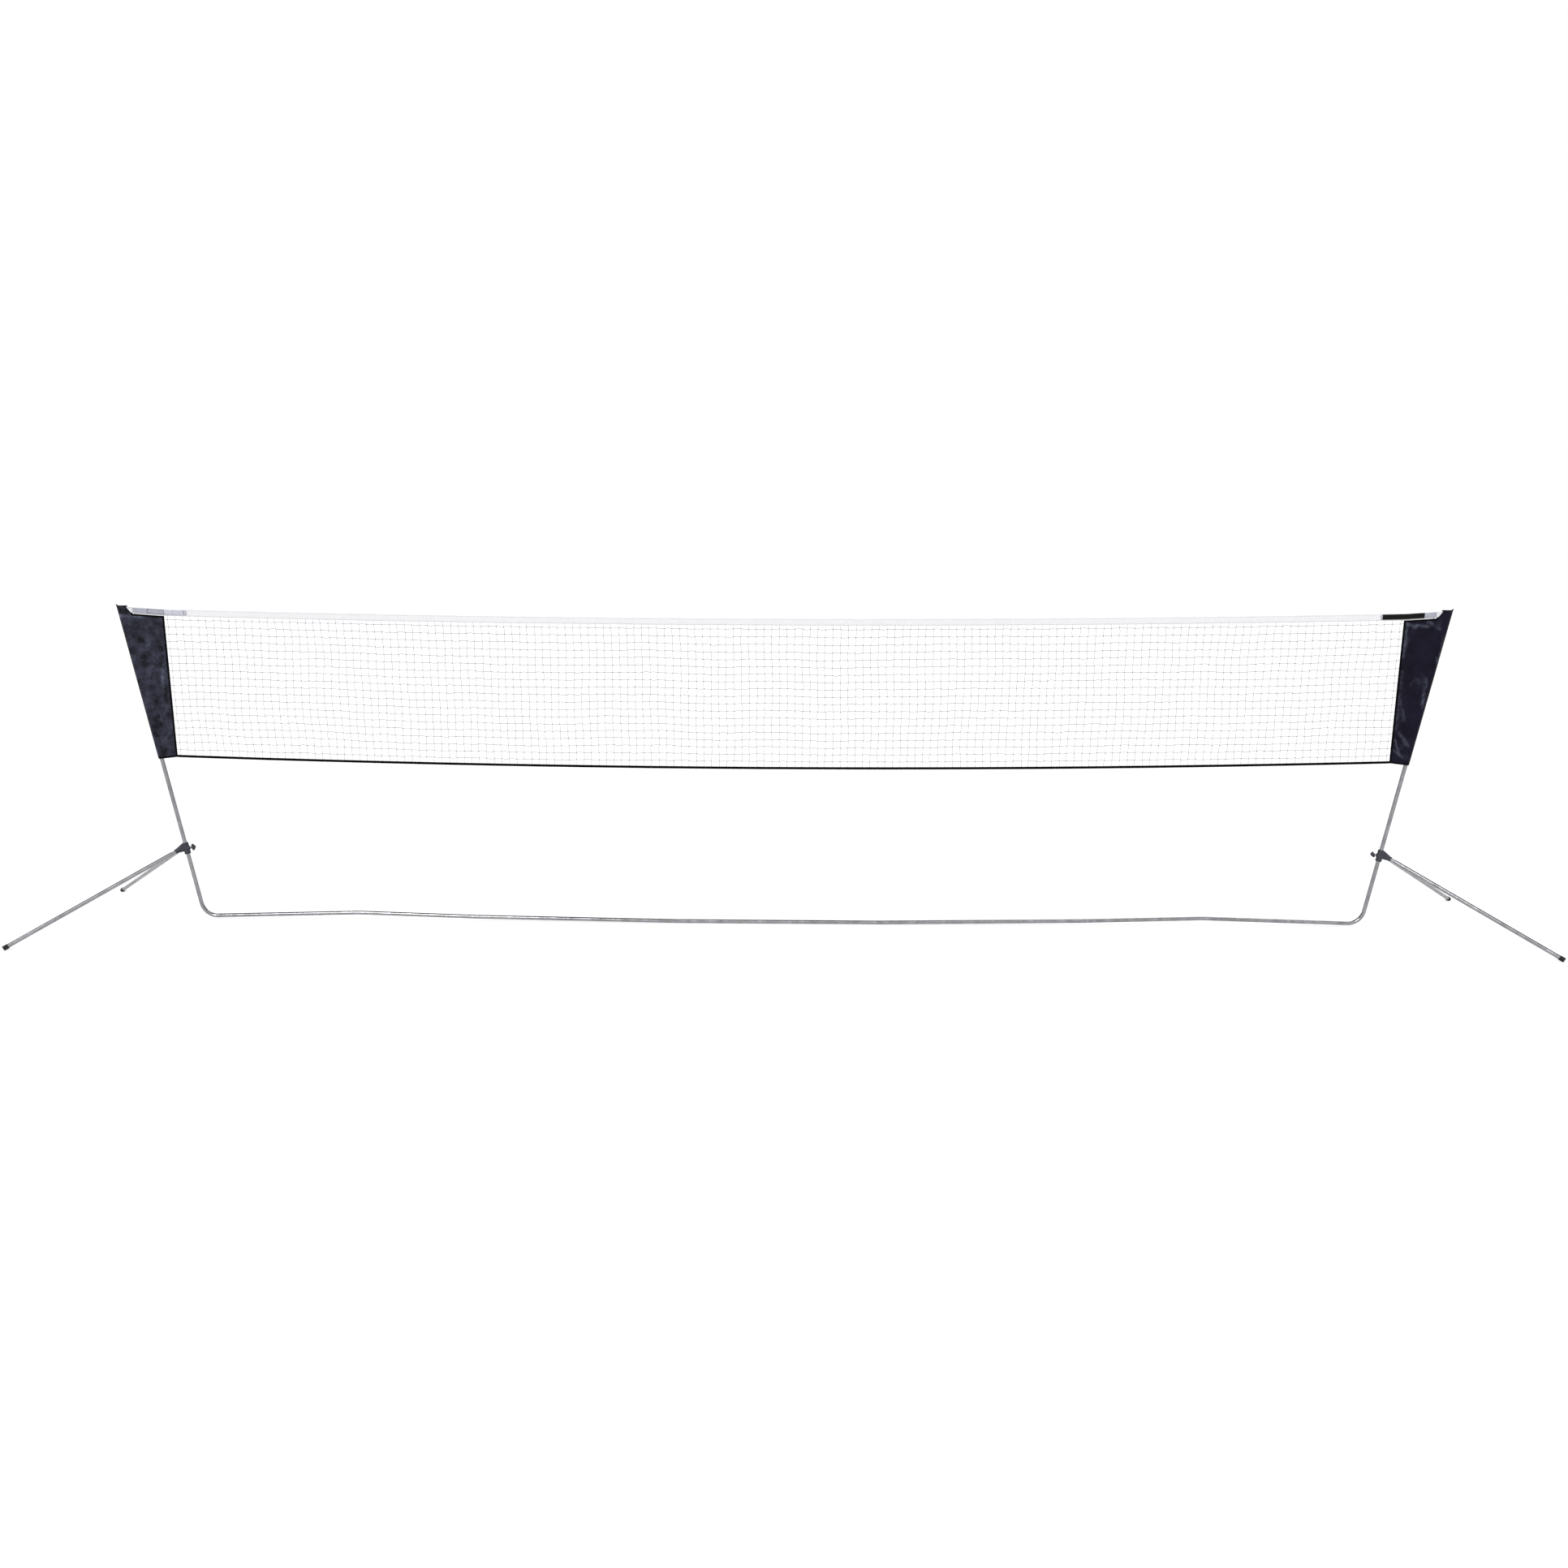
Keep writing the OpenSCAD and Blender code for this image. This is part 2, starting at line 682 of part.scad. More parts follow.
module wing_knob(s) {
    turn = s < 0 ? left_knob_turn : right_knob_turn;
    hub_r = 4.6;
    hub_end = 6.6;
    dish = 1.1;
    color(charcoal)
        on(s)
            in_collar()
                rotate([0, -90, 0])
                    translate([0, 0, knob_in])
                        rotate([0, 0, turn])
                            difference() {
                                union() {
                                    rotate([90, 0, 0])
                                        translate([0, 0, -wing_t / 2])
                                            linear_extrude(wing_t)
                                                wings();
                                    rotate_extrude()
                                        polygon([
                                            [0, 0], [hub_r, 0], [hub_end, knob_len * 0.4],
                                            [hub_end, knob_len * 0.72], [hub_r, knob_len - 1.2], [0, knob_len - 1.2]
                                        ]);
                                }
                                for (m = [-1, 1])
                                    rotate([90, 0, 0])
                                        translate([0, 0, m > 0 ? wing_t / 2 - dish : -wing_t / 2 - over])
                                            linear_extrude(dish + over)
                                                difference() {
                                                    offset(delta = -1.8)
                                                        wings();
                                                    square([2 * hub_end + 1.2, 2 * knob_len], center = true);
                                                }
                                translate([0, 0, -over])
                                    cylinder(r = stud_d / 2 + stud_gap, h = knob_len * 0.7 + over + 0.1);
                            }
}

module leg(s, side) {
    color(steel)
        on(s)
            along_leg(side) {
                translate([0, 0, leg_start])
                    tube(leg_len - foot_end - leg_start);
                translate([0, 0, leg_start])
                    rotate([180, 0, 0])
                        spigot(neck_r, neck_len + socket_depth - 1);
            }
}

// Rubber ferrule over the leg's end, cut flat where it meets the ground
module foot(s, side) {
    out_r = tube_r + foot_wall;
    lip = 1;
    ground = 60;
    color(black)
        on(s)
            difference() {
                along_leg(side)
                    translate([0, 0, leg_len - foot_len])
                        rotate_extrude()
                            polygon([
                                [tube_r, 0], [out_r - lip, 0], [out_r, lip],
                                [out_r, foot_len - lip / 2], [out_r - lip / 2, foot_len], [0, foot_len],
                                [0, foot_len - foot_end], [tube_r, foot_len - foot_end]
                            ]);
                translate([leg_root.x, -1000, -ground])
                    cube([1000, 2000, ground]);
            }
}

// ---- the object --------------------------------------------------------------

rail_centre();
net_mesh();
top_tape();
bottom_tape();
right_hook_tab();
rail_inner(-1);  // left_rail_inner
rail_inner(1);  // right_rail_inner
rail_outer(-1);  // left_rail_outer
rail_outer(1);  // right_rail_outer
corner_tube(-1);  // left_corner_tube
corner_tube(1);  // right_corner_tube
pole_top(-1);  // left_pole_top
pole_top(1);  // right_pole_top
pole_plug(-1);  // left_pole_plug
pole_plug(1);  // right_pole_plug
sleeve(-1);  // left_sleeve
sleeve(1);  // right_sleeve
strap(-1);  // left_strap
strap(1);  // right_strap
loop_patch(-1);  // left_loop_patch
loop_patch(1);  // right_loop_patch
clamp(-1);  // left_clamp
clamp(1);  // right_clamp
clamp_nut(-1);  // left_clamp_nut
clamp_nut(1);  // right_clamp_nut
clamp_stud(-1);  // left_clamp_stud
clamp_stud(1);  // right_clamp_stud
wing_knob(-1);  // left_wing_knob
wing_knob(1);  // right_wing_knob
leg(-1, -1);  // left_front_leg
leg(1, -1);  // right_front_leg
leg(-1, 1);  // left_rear_leg
leg(1, 1);  // right_rear_leg
foot(-1, -1);  // left_front_foot
foot(1, -1);  // right_front_foot
foot(-1, 1);  // left_rear_foot
foot(1, 1);  // right_rear_foot
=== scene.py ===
# %% [markdown]
# # A leisure net on steel poles
# This notebook dresses a measured model of a garden net: a steel rail on the ground, two leaning
# poles on splayed legs, and a knotted net held between two cloth sleeves. The hard parts arrive
# finished in shape, so the work here is cloth, netting, webbing and the look of every surface.
# Everything is in metres, with +X along the net, +Z up, and the net standing over Y = 0.

# %% The frame, and the boxes of its parts
import math

import bmesh
import bpy
import numpy as np
from mathutils import Matrix, Vector, noise


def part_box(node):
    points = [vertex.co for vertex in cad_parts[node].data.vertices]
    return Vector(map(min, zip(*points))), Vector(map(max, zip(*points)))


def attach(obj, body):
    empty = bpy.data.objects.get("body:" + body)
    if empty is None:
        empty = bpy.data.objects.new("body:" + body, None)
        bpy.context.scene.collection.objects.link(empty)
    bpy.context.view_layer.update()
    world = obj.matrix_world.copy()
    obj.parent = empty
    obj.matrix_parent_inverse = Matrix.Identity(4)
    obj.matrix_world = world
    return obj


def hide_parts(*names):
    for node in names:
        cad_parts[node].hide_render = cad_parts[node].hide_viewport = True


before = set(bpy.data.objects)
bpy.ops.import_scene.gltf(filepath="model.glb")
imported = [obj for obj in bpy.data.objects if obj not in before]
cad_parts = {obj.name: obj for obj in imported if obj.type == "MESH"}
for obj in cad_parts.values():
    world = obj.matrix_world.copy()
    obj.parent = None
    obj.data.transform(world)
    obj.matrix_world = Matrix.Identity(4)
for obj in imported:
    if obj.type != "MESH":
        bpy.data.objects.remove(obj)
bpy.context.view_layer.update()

SIDES = {"left": -1, "right": 1}
MM = 0.001

# %% [markdown]
# ## Where things are
# A few sizes are read back from the frame's own boxes, such as the pole's axis from the box of
# its upper tube. That keeps the cloth on the poles if the steel is ever made in another size.

# %% Pole axis, net lines and sleeve outline, on the right side
TUBE_R = 9.5 * MM
LEAN = math.radians(9.9)
UP_POLE = np.array([math.sin(LEAN), math.cos(LEAN)])
TO_NET = np.array([-math.cos(LEAN), math.sin(LEAN)])

pole_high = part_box("right_pole_top")[1]
pole_top = np.array([pole_high.x - TUBE_R * math.cos(LEAN), pole_high.z - TUBE_R * math.sin(LEAN)])
net_low, net_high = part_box("net_mesh")
NET_HALF = net_high.x
NET_TOP = 1.470
NET_TOP_END = net_high.z
NET_BOTTOM = net_low.z
NET_BOTTOM_END = NET_BOTTOM + 44 * MM
TAPE_SLOPE = 0.066
TAPE_H = 35 * MM
HEM_H = 8 * MM
SLEEVE_LOW = 0.817
SLEEVE_TOP = 1.552
FLANGE = 15.2 * MM  # the sleeve's fold, outwards from the pole's axis
# From the pole's axis towards the net: the pocket's seam, and the mouth's low and high ends
STITCH_U = 60 * MM
MOUTH_U = 49 * MM
FLAT_U = 28 * MM


def pole_x(z):
    return pole_top[0] + (z - pole_top[1]) * math.tan(LEAN)


def top_line(x):
    inside = NET_TOP + (NET_TOP_END - NET_TOP) * (x / NET_HALF) ** 2
    outside = NET_TOP_END + TAPE_SLOPE * (np.abs(x) - NET_HALF)
    return np.where(np.abs(x) <= NET_HALF, inside, outside)


def bottom_line(x):
    return NET_BOTTOM + (NET_BOTTOM_END - NET_BOTTOM) * (x / NET_HALF) ** 2


print("pole top", pole_top.round(4), "net half width", round(NET_HALF, 4))

# %% [markdown]
# ## Tools for the bench
# A few small helpers carry most of the work. One adds a shader node with its settings and links,
# and those after it name its common uses. One turns a hex colour into the linear values that a
# shader wants, and one makes a mesh from a grid of points, with a UV map in metres so that weave
# and stitches follow the cloth.

# %% Colour helper, shader helpers and material start
def linear(code):
    """An sRGB hex colour as linear RGBA."""
    parts = [int(code[i:i + 2], 16) / 255 for i in (1, 3, 5)]
    return [c / 12.92 if c <= 0.04045 else ((c + 0.055) / 1.055) ** 2.4 for c in parts] + [1.0]


def add(tree, kind, inputs=(), **settings):
    """Adds one node. Each of inputs is (socket, value or another node's output)."""
    made = tree.nodes.new("ShaderNode" + kind)
    for name, value in settings.items():
        setattr(made, name, value)
    for socket, value in inputs:
        if isinstance(value, bpy.types.NodeSocket):
            tree.links.new(value, made.inputs[socket])
        else:
            made.inputs[socket].default_value = value
    return made


def combine(tree, operation, *values):
    """The result of one sum on values or on other nodes' outputs."""
    return add(tree, "Math", enumerate(values), operation=operation).outputs[0]


def remap(tree, value, low, high, to_low=0.0, to_high=1.0):
    """A value moved from the range low to high into to_low to to_high, and kept in it."""
    return add(tree, "MapRange", [("Value", value), ("From Min", low), ("From Max", high),
                                  ("To Min", to_low), ("To Max", to_high)]).outputs[0]


def clouds(tree, place, scale, detail, rough=0.5):
    """Smooth noise from 0 to 1."""
    return add(tree, "TexNoise", [("Vector", place), ("Scale", scale), ("Detail", detail),
                                  ("Roughness", rough)]).outputs[0]


def blend(tree, mask, dark, light):
    """A colour between two by a mask from 0 to 1."""
    return add(tree, "Mix", [(0, mask), (6, dark), (7, light)], data_type="RGBA").outputs[2]


def start_material(name, roughness, metallic=0.0, sheen=0.0, specular=0.5):
    """A new material: its node tree, its Principled shader and the object's own coordinates."""
    made = bpy.data.materials.new(name)
    made.use_nodes = True
    shader = made.node_tree.nodes["Principled BSDF"]
    shader.inputs["Roughness"].default_value = roughness
    shader.inputs["Metallic"].default_value = metallic
    shader.inputs["Sheen Weight"].default_value = sheen
    shader.inputs["Specular IOR Level"].default_value = specular
    return made, made.node_tree, shader, add(made.node_tree, "TexCoord").outputs["Object"]


def two_tone(tree, shader, mask, dark, light):
    """Mixes the base colour between two hex colours by a mask from 0 to 1."""
    colour = blend(tree, mask, linear(dark), linear(light))
    tree.links.new(colour, shader.inputs["Base Color"])
    return colour


def relief(tree, shader, height, depth):
    """Bumps the surface by a height from 0 to 1, depth metres deep."""
    bump = add(tree, "Bump", [("Height", height), ("Distance", depth), ("Strength", 1.0)])
    tree.links.new(bump.outputs["Normal"], shader.inputs["Normal"])


print("bench ready")

# %% Mesh helpers
def link_mesh(name, points, faces, uv=None):
    """A smooth mesh object at the origin, with an optional UV place for each point."""
    mesh = bpy.data.meshes.new(name)
    mesh.from_pydata([tuple(p) for p in points], [], [tuple(f) for f in faces])
    if uv is not None:
        layer = mesh.uv_layers.new(name="cloth")
        corner = np.empty(len(mesh.loops), dtype=np.int32)
        mesh.loops.foreach_get("vertex_index", corner)
        layer.data.foreach_set("uv", np.asarray(uv, dtype=np.float32)[corner].ravel())
    mesh.polygons.foreach_set("use_smooth", [True] * len(mesh.polygons))
    mesh.update()
    made = bpy.data.objects.new(name, mesh)
    bpy.context.collection.objects.link(made)
    return made


def path_lengths(points):
    """Distance along a line of points, from its first."""
    steps = np.linalg.norm(np.diff(points, axis=0), axis=1)
    return np.concatenate([[0.0], np.cumsum(steps)])


def grid_sheet(name, grid, thickness, material):
    """Cloth from a grid of points [along, across, xyz], with its thickness from Solidify."""
    n, m = grid.shape[:2]
    along = path_lengths(grid[:, m // 2])
    across = path_lengths(grid[n // 2])
    uv = np.stack(np.broadcast_arrays(along[:, None], across[None, :]), axis=-1).reshape(-1, 2)
    k = np.arange(n * m).reshape(n, m)
    faces = np.stack([k[:-1, :-1], k[1:, :-1], k[1:, 1:], k[:-1, 1:]], axis=-1).reshape(-1, 4)
    made = link_mesh(name, grid.reshape(-1, 3), faces.tolist(), uv)
    solid = made.modifiers.new("thickness", "SOLIDIFY")
    solid.thickness = thickness
    solid.offset = 0.0
    made.data.materials.append(material)
    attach(made, "frame")
    return made


print("mesh helpers ready")

# %% [markdown]
# ## Steel
# The tubes are thin-walled steel, drawn through a die and zinc plated. Drawing leaves hair-fine
# lines along the tube and plating leaves a soft cloud in the shine. The lines must run along each
# tube, so the pattern is turned to the tube's own direction and stretched along it.

# %% Drawn, zinc-plated steel: bright, with soft lengthwise lines
DRAW_LINE = 1.4 * MM  # coarser than the real 0.2 mm, so that it shows
DRAW_LENGTH = 160 * MM


def drawn_steel(name, along):
    made, tree, shader, place = start_material("zinc_plated_drawn_steel_" + name, 0.22,
                                               metallic=1.0)
    turn = Vector(along).to_track_quat("X", "Z").to_euler()
    stretch = (DRAW_LENGTH, DRAW_LINE, DRAW_LINE)
    lines = add(tree, "Mapping", [("Vector", place), ("Rotation", turn), ("Scale", stretch)],
                vector_type="TEXTURE")
    drawn = clouds(tree, lines.outputs[0], 1.0, 3.0)
    cloud = clouds(tree, place, 28.0, 4.0)
    mask = remap(tree, combine(tree, "ADD", drawn, cloud), 0.75, 1.25)
    two_tone(tree, shader, mask, "#7e7e81", "#9e9ea2")
    tree.links.new(remap(tree, cloud, 0.3, 0.7, 0.17, 0.28), shader.inputs["Roughness"])
    relief(tree, shader, drawn, 0.03 * MM)
    return made


def zinc_hardware():
    """Bright zinc on a turned nut and stud: smaller, sharper clouds than on the tubes."""
    made, tree, shader, place = start_material("bright_zinc_turned_steel", 0.25, metallic=1.0)
    cloud = clouds(tree, place, 220.0, 3.0)
    two_tone(tree, shader, cloud, "#9b9ca2", "#cfd0d4")
    relief(tree, shader, cloud, 0.02 * MM)
    return made


SPLAY = math.radians(74.6 / 2)
DROP = math.radians(25)


def leg_direction(side, back):
    flat = math.cos(DROP)
    return (side * flat * math.cos(SPLAY), back * flat * math.sin(SPLAY), -math.sin(DROP))


def dress(node, material):
    """Gives a CAD node one material, which replaces all that it came with."""
    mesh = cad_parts[node].data
    mesh.materials.clear()
    mesh.materials.append(material)


rail_steel = drawn_steel("rail", (1, 0, 0))
dress("rail_centre", rail_steel)
hardware = zinc_hardware()
for side, s in SIDES.items():
    dress(side + "_rail_inner", rail_steel)
    dress(side + "_rail_outer", rail_steel)
    pole_steel = drawn_steel(side + "_pole", (s * math.sin(LEAN), 0, math.cos(LEAN)))
    dress(side + "_corner_tube", pole_steel)
    dress(side + "_pole_top", pole_steel)
    for end, back in (("front", -1), ("rear", 1)):
        dress(f"{side}_{end}_leg", drawn_steel(f"{side}_{end}_leg", leg_direction(s, back)))
    dress(side + "_clamp_nut", hardware)
    dress(side + "_clamp_stud", hardware)
print("steel on", sum(1 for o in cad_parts.values() if o.data.materials and
                      "steel" in o.data.materials[0].name), "nodes")

# %% [markdown]
# ## Mouldings
# The leg clamps, wing knobs, pole plugs and feet are injection moulded. No mould gives a sharp
# edge, so each part is copied from its exact solid, its loose triangles are joined, flat ones are
# merged to whole faces, and a small bevel rounds every edge, as the mould's own radius does.

# %% Moulded plastics and rubber
def moulded(name, dark, light, grain, roughness, depth):
    """Spark-eroded mould skin: a fine even grain, with a slow drift of tone."""
    made, tree, shader, place = start_material(name, roughness, specular=0.3)
    skin = clouds(tree, place, 1 / grain, 2.0)
    two_tone(tree, shader, clouds(tree, place, 35.0, 3.0), dark, light)
    gloss = remap(tree, skin, 0.0, 1.0, roughness - 0.08, roughness + 0.1)
    tree.links.new(gloss, shader.inputs["Roughness"])
    relief(tree, shader, skin, depth)
    return made


# Glass-filled nylon: dark, a little blue, satin
clamp_nylon = moulded("glass_filled_nylon_moulded", "#2b2d34", "#43454d", 0.9 * MM, 0.42, 0.08 * MM)
# Polyethylene: black, waxy
plug_plastic = moulded("polyethylene_moulded", "#121211", "#22221f", 0.9 * MM, 0.38, 0.05 * MM)
# Natural rubber: black, dull, a little dusty
foot_rubber = moulded("rubber_moulded", "#151513", "#2b2b28", 1.2 * MM, 0.68, 0.12 * MM)


WELD = 0.004 * MM  # corners nearer than this are one
FLAT = math.radians(1.5)  # faces that turn less than this are one
SHARP = math.radians(38)  # an edge that turns more than this is rounded


def rounded_copy(node, name, material, body, radius):
    """A joined copy of a CAD node with its edges rounded to radius."""
    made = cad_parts[node].copy()
    made.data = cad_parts[node].data.copy()
    for key in list(made.keys()):
        del made[key]
    made.name = name
    made.data.name = name
    made.parent = None
    made.matrix_world = Matrix.Identity(4)
    bpy.context.collection.objects.link(made)
    work = bmesh.new()
    work.from_mesh(made.data)
    bmesh.ops.remove_doubles(work, verts=work.verts, dist=WELD)
    bmesh.ops.dissolve_limit(work, angle_limit=FLAT, verts=work.verts, edges=work.edges)
    work.to_mesh(made.data)
    work.free()
    made.data.materials.clear()
    made.data.materials.append(material)
    edge = made.modifiers.new("mould_radius", "BEVEL")
    edge.width = radius
    edge.segments = 2
    edge.limit_method = "ANGLE"
    edge.angle_limit = SHARP
    bpy.ops.object.select_all(action="DESELECT")
    made.select_set(True)
    bpy.context.view_layer.objects.active = made
    bpy.ops.object.shade_smooth_by_angle(angle=SHARP)
    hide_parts(node)
    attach(made, body)


# %% Clamps, knobs, plugs and feet
for side in SIDES:
    legs, knob = side + "_leg_set", side + "_knob"
    rounded_copy(side + "_clamp", side + "_leg_clamp", clamp_nylon, legs, 0.7 * MM)
    rounded_copy(side + "_wing_knob", side + "_wing", clamp_nylon, knob, 0.6 * MM)
    rounded_copy(side + "_pole_plug", side + "_plug", plug_plastic, "frame",
                 0.3 * MM)
    for end in ("front", "rear"):
        foot = f"{side}_{end}"
        rounded_copy(foot + "_foot", foot + "_ferrule", foot_rubber, legs, 0.4 * MM)

# %% [markdown]
# ## The net
# Real netting is one twine led to and fro and knotted at each crossing, in square meshes. Nothing
# is straight in it: each knot sits where its neighbours pull it, so rows wander slowly up and
# down and each strand has a little slack. A lattice modifier would give waves but no slack, so
# the knots' places are worked out first and the twine is then laid from knot to knot.

# %% Twine, knots, and the places of the knots
MESH = 36.3 * MM
FIRST_COLUMN = 17 * MM
FIRST_ROW = 17.5 * MM
LAST_ROW = 28 * MM
ROWS = 19
ROW_R = 0.9 * MM
COLUMN_R = 0.8 * MM
WANDER = 8 * MM
STEADY_X, STEADY_Z = 0.12, 0.1  # the wander fades out this near the net's ends and edges
JITTER_X, JITTER_Z = 0.9 * MM, 0.7 * MM
SLACK = 1.7 * MM
SLACK_ALONG_X = (0.35, 1.0, 1.0)
SLACK_ALONG_Z = (1.0, 1.0, 0.3)

columns = int((2 * NET_HALF - 2 * FIRST_COLUMN) / MESH) + 1
knot_x = np.linspace(-NET_HALF + FIRST_COLUMN, NET_HALF - FIRST_COLUMN, columns)
dice = np.random.default_rng(41)


def drift(x, z, seed):
    """A slow wander over the net, mostly between -1 and 1."""
    slow = noise.noise(Vector((x * 1.7, z * 2.3, seed)))
    return slow + 0.6 * noise.noise(Vector((x * 6.0, z * 5.0, seed + 9)))


knots = np.zeros((columns, ROWS, 3))
for i, x in enumerate(knot_x):
    high, low = float(top_line(x)), float(bottom_line(x))
    ease_x = min(1.0, (NET_HALF - abs(x)) / STEADY_X)
    for j in range(ROWS):
        z = high - FIRST_ROW - (high - low - FIRST_ROW - LAST_ROW) * j / (ROWS - 1)
        sway = WANDER * ease_x * min(1.0, (high - z) / STEADY_Z, (z - low) / STEADY_Z)
        knots[i, j] = (x + sway * drift(x, z, 3.1), 2.5 * sway * drift(x * 0.6, z, 21.7),
                       z + sway * drift(x, z * 0.4, 11.4))
knots[:, :, 0] += dice.normal(0, JITTER_X, knots.shape[:2])
knots[:, :, 2] += dice.normal(0, JITTER_Z, knots.shape[:2])
print("knots:", columns, "x", ROWS, "at", round(1000 * (knot_x[1] - knot_x[0]), 2), "mm")


# %% Twine laid from knot to knot
def with_slack(points, share):
    """Adds a slack point between each two knots of one line, with less slack along the line."""
    out = [points[0]]
    for a, b in zip(points[:-1], points[1:]):
        out += [(a + b) / 2 + dice.normal(0, SLACK, 3) * share, b]
    return np.array(out)


def twine(lines, radius):
    """Four-sided cord along each line of points: all points and faces of one mesh."""
    points, faces, count = [], [], 0
    for line in lines:
        tangent = np.gradient(line, axis=0)
        tangent /= np.linalg.norm(tangent, axis=1)[:, None]
        across = np.cross(tangent, (0.0, 1.0, 0.0))
        across /= np.linalg.norm(across, axis=1)[:, None]
        depth = np.cross(across, tangent)
        ring = np.stack([across, depth, -across, -depth], axis=1) * radius + line[:, None, :]
        n = len(line)
        points.append(ring.reshape(-1, 3))
        k = count + np.arange(4 * n).reshape(n, 4)
        turn = np.roll(k, -1, axis=1)
        walls = np.stack([k[:-1], turn[:-1], turn[1:], k[1:]], axis=-1).reshape(-1, 4)
        faces += walls.tolist() + [k[0, ::-1].tolist(), k[-1].tolist()]
        count += 4 * n
    return np.concatenate(points), faces


row_lines, column_lines = [], []
for j in range(ROWS):
    ends = [[side * NET_HALF, 0, knots[i, j, 2] + 2 * MM] for side, i in ((-1, 0), (1, -1))]
    row_lines.append(with_slack(np.vstack([ends[:1], knots[:, j], ends[1:]]), SLACK_ALONG_X))
for i in range(columns):
    x = knots[i, 0, 0]
    top = [x, 0, float(top_line(x)) + 6 * MM]
    bottom = [knots[i, -1, 0], 0, float(bottom_line(x)) - 3 * MM]
    column_lines.append(with_slack(np.vstack([[top], knots[i], [bottom]]), SLACK_ALONG_Z))
row_points, row_faces = twine(row_lines, ROW_R)
column_points, column_faces = twine(column_lines, COLUMN_R)
print("twine:", round(sum(path_lengths(line)[-1] for line in row_lines + column_lines), 1), "m")

# %% One knot, made once and copied to every crossing
bpy.ops.object.select_all(action="DESELECT")
bpy.ops.mesh.primitive_ico_sphere_add(subdivisions=1, radius=1.0)
knot = bpy.context.object
bpy.ops.object.mode_set(mode="EDIT")
bpy.ops.mesh.select_all(action="SELECT")
# A netting knot is a flat lump, longer across the mesh than up it
bpy.ops.transform.resize(value=(2.9 * MM, 1.7 * MM, 2.3 * MM))
bpy.ops.object.mode_set(mode="OBJECT")
# Its waist is drawn in where the upright strand crosses
for v in knot.data.vertices:
    v.co *= 0.8 if abs(v.co.x) < 0.7 * MM and v.co.z > 0 else 1.0
lump = np.array([v.co[:] for v in knot.data.vertices])
lump_faces = np.array([p.vertices[:] for p in knot.data.polygons])
bpy.data.objects.remove(knot)

places = knots.reshape(-1, 3)
tilt = dice.uniform(-0.5, 0.5, len(places))
turned = np.stack([
    lump[None, :, 0] * np.cos(tilt)[:, None] - lump[None, :, 2] * np.sin(tilt)[:, None],
    np.broadcast_to(lump[None, :, 1], (len(places), len(lump))),
    lump[None, :, 0] * np.sin(tilt)[:, None] + lump[None, :, 2] * np.cos(tilt)[:, None]], axis=-1)
knot_points = (turned + places[:, None, :]).reshape(-1, 3)
knot_faces = (lump_faces[None] + len(lump) * np.arange(len(places))[:, None, None]).reshape(-1, 3)


# %% Braided twine: pale, with the twist as a fine slanting relief
def braided(name, dark, light):
    made, tree, shader, place = start_material(name, 0.75, sheen=0.1, specular=0.2)
    twist = add(tree, "TexWave", [("Vector", place), ("Scale", 1 / (9 * MM)), ("Distortion", 1.5)],
                bands_direction="DIAGONAL")
    two_tone(tree, shader, twist.outputs[1], dark, light)
    relief(tree, shader, twist.outputs[1], 0.2 * MM)
    return made


def merged(parts):
    """Points and faces of several meshes as one."""
    points, faces, count = [], [], 0
    for p, f in parts:
        points.append(p)
        faces += [[count + k for k in face] for face in f]
        count += len(p)
    return np.concatenate(points), faces


net_points, net_faces = merged([(row_points, row_faces), (column_points, column_faces),
                                (knot_points, knot_faces.tolist())])
net = link_mesh("knotted_net", net_points, net_faces)
# The twine is white: its grey is painted shade, darker on the rows than on the columns and darkest
# on the knots
for strand, dark, light in (("rows", "#7c7d85", "#9a9ba3"), ("columns", "#a2a3aa", "#bcbdc4"),
                            ("knots", "#62636b", "#7f8088")):
    net.data.materials.append(braided("polyester_twine_shade_painted_" + strand, dark, light))
net.data.polygons.foreach_set(
    "material_index", [0] * len(row_faces) + [1] * len(column_faces) + [2] * len(knot_faces))
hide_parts("net_mesh")
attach(net, "frame")
print("net faces:", len(net.data.polygons))

# %% [markdown]
# ## Tapes
# The net's top edge is a white polyester tape, folded lengthwise over a cord and stitched down
# through both layers. Under tension the fold stays straight while the lower edge pulls into soft
# scallops between the strands. It is laid as a grid of points, because its route is a formula,
# and Solidify gives it thickness. Its stitches are drawn on the UV map, which is in metres.

# %% Woven tape: weave, stitch rows, and a soft sheen
def stitch_rows(tree, uv, rows, pitch):
    """A mask of thread dashes along the cloth, at the given distances across it."""
    along, across = add(tree, "SeparateXYZ", [(0, uv)]).outputs[:2]
    dash = combine(tree, "LESS_THAN", combine(tree, "MODULO", along, pitch), 0.72 * pitch)
    total = 0.0
    for row in rows:
        near = combine(tree, "COMPARE", across, row, 0.55 * MM)
        total = combine(tree, "MAXIMUM", total, combine(tree, "MULTIPLY", near, dash))
    return total


def plain_weave(tree, uv, thread, wobble):
    """Warp over weft at a given thread spacing, from 0 to 1."""
    inputs = [("Vector", uv), ("Scale", 1 / (thread * 2)), ("Distortion", wobble)]
    warp, weft = [add(tree, "TexWave", inputs, bands_direction=way).outputs[1] for way in "XY"]
    return combine(tree, "MULTIPLY", warp, weft)


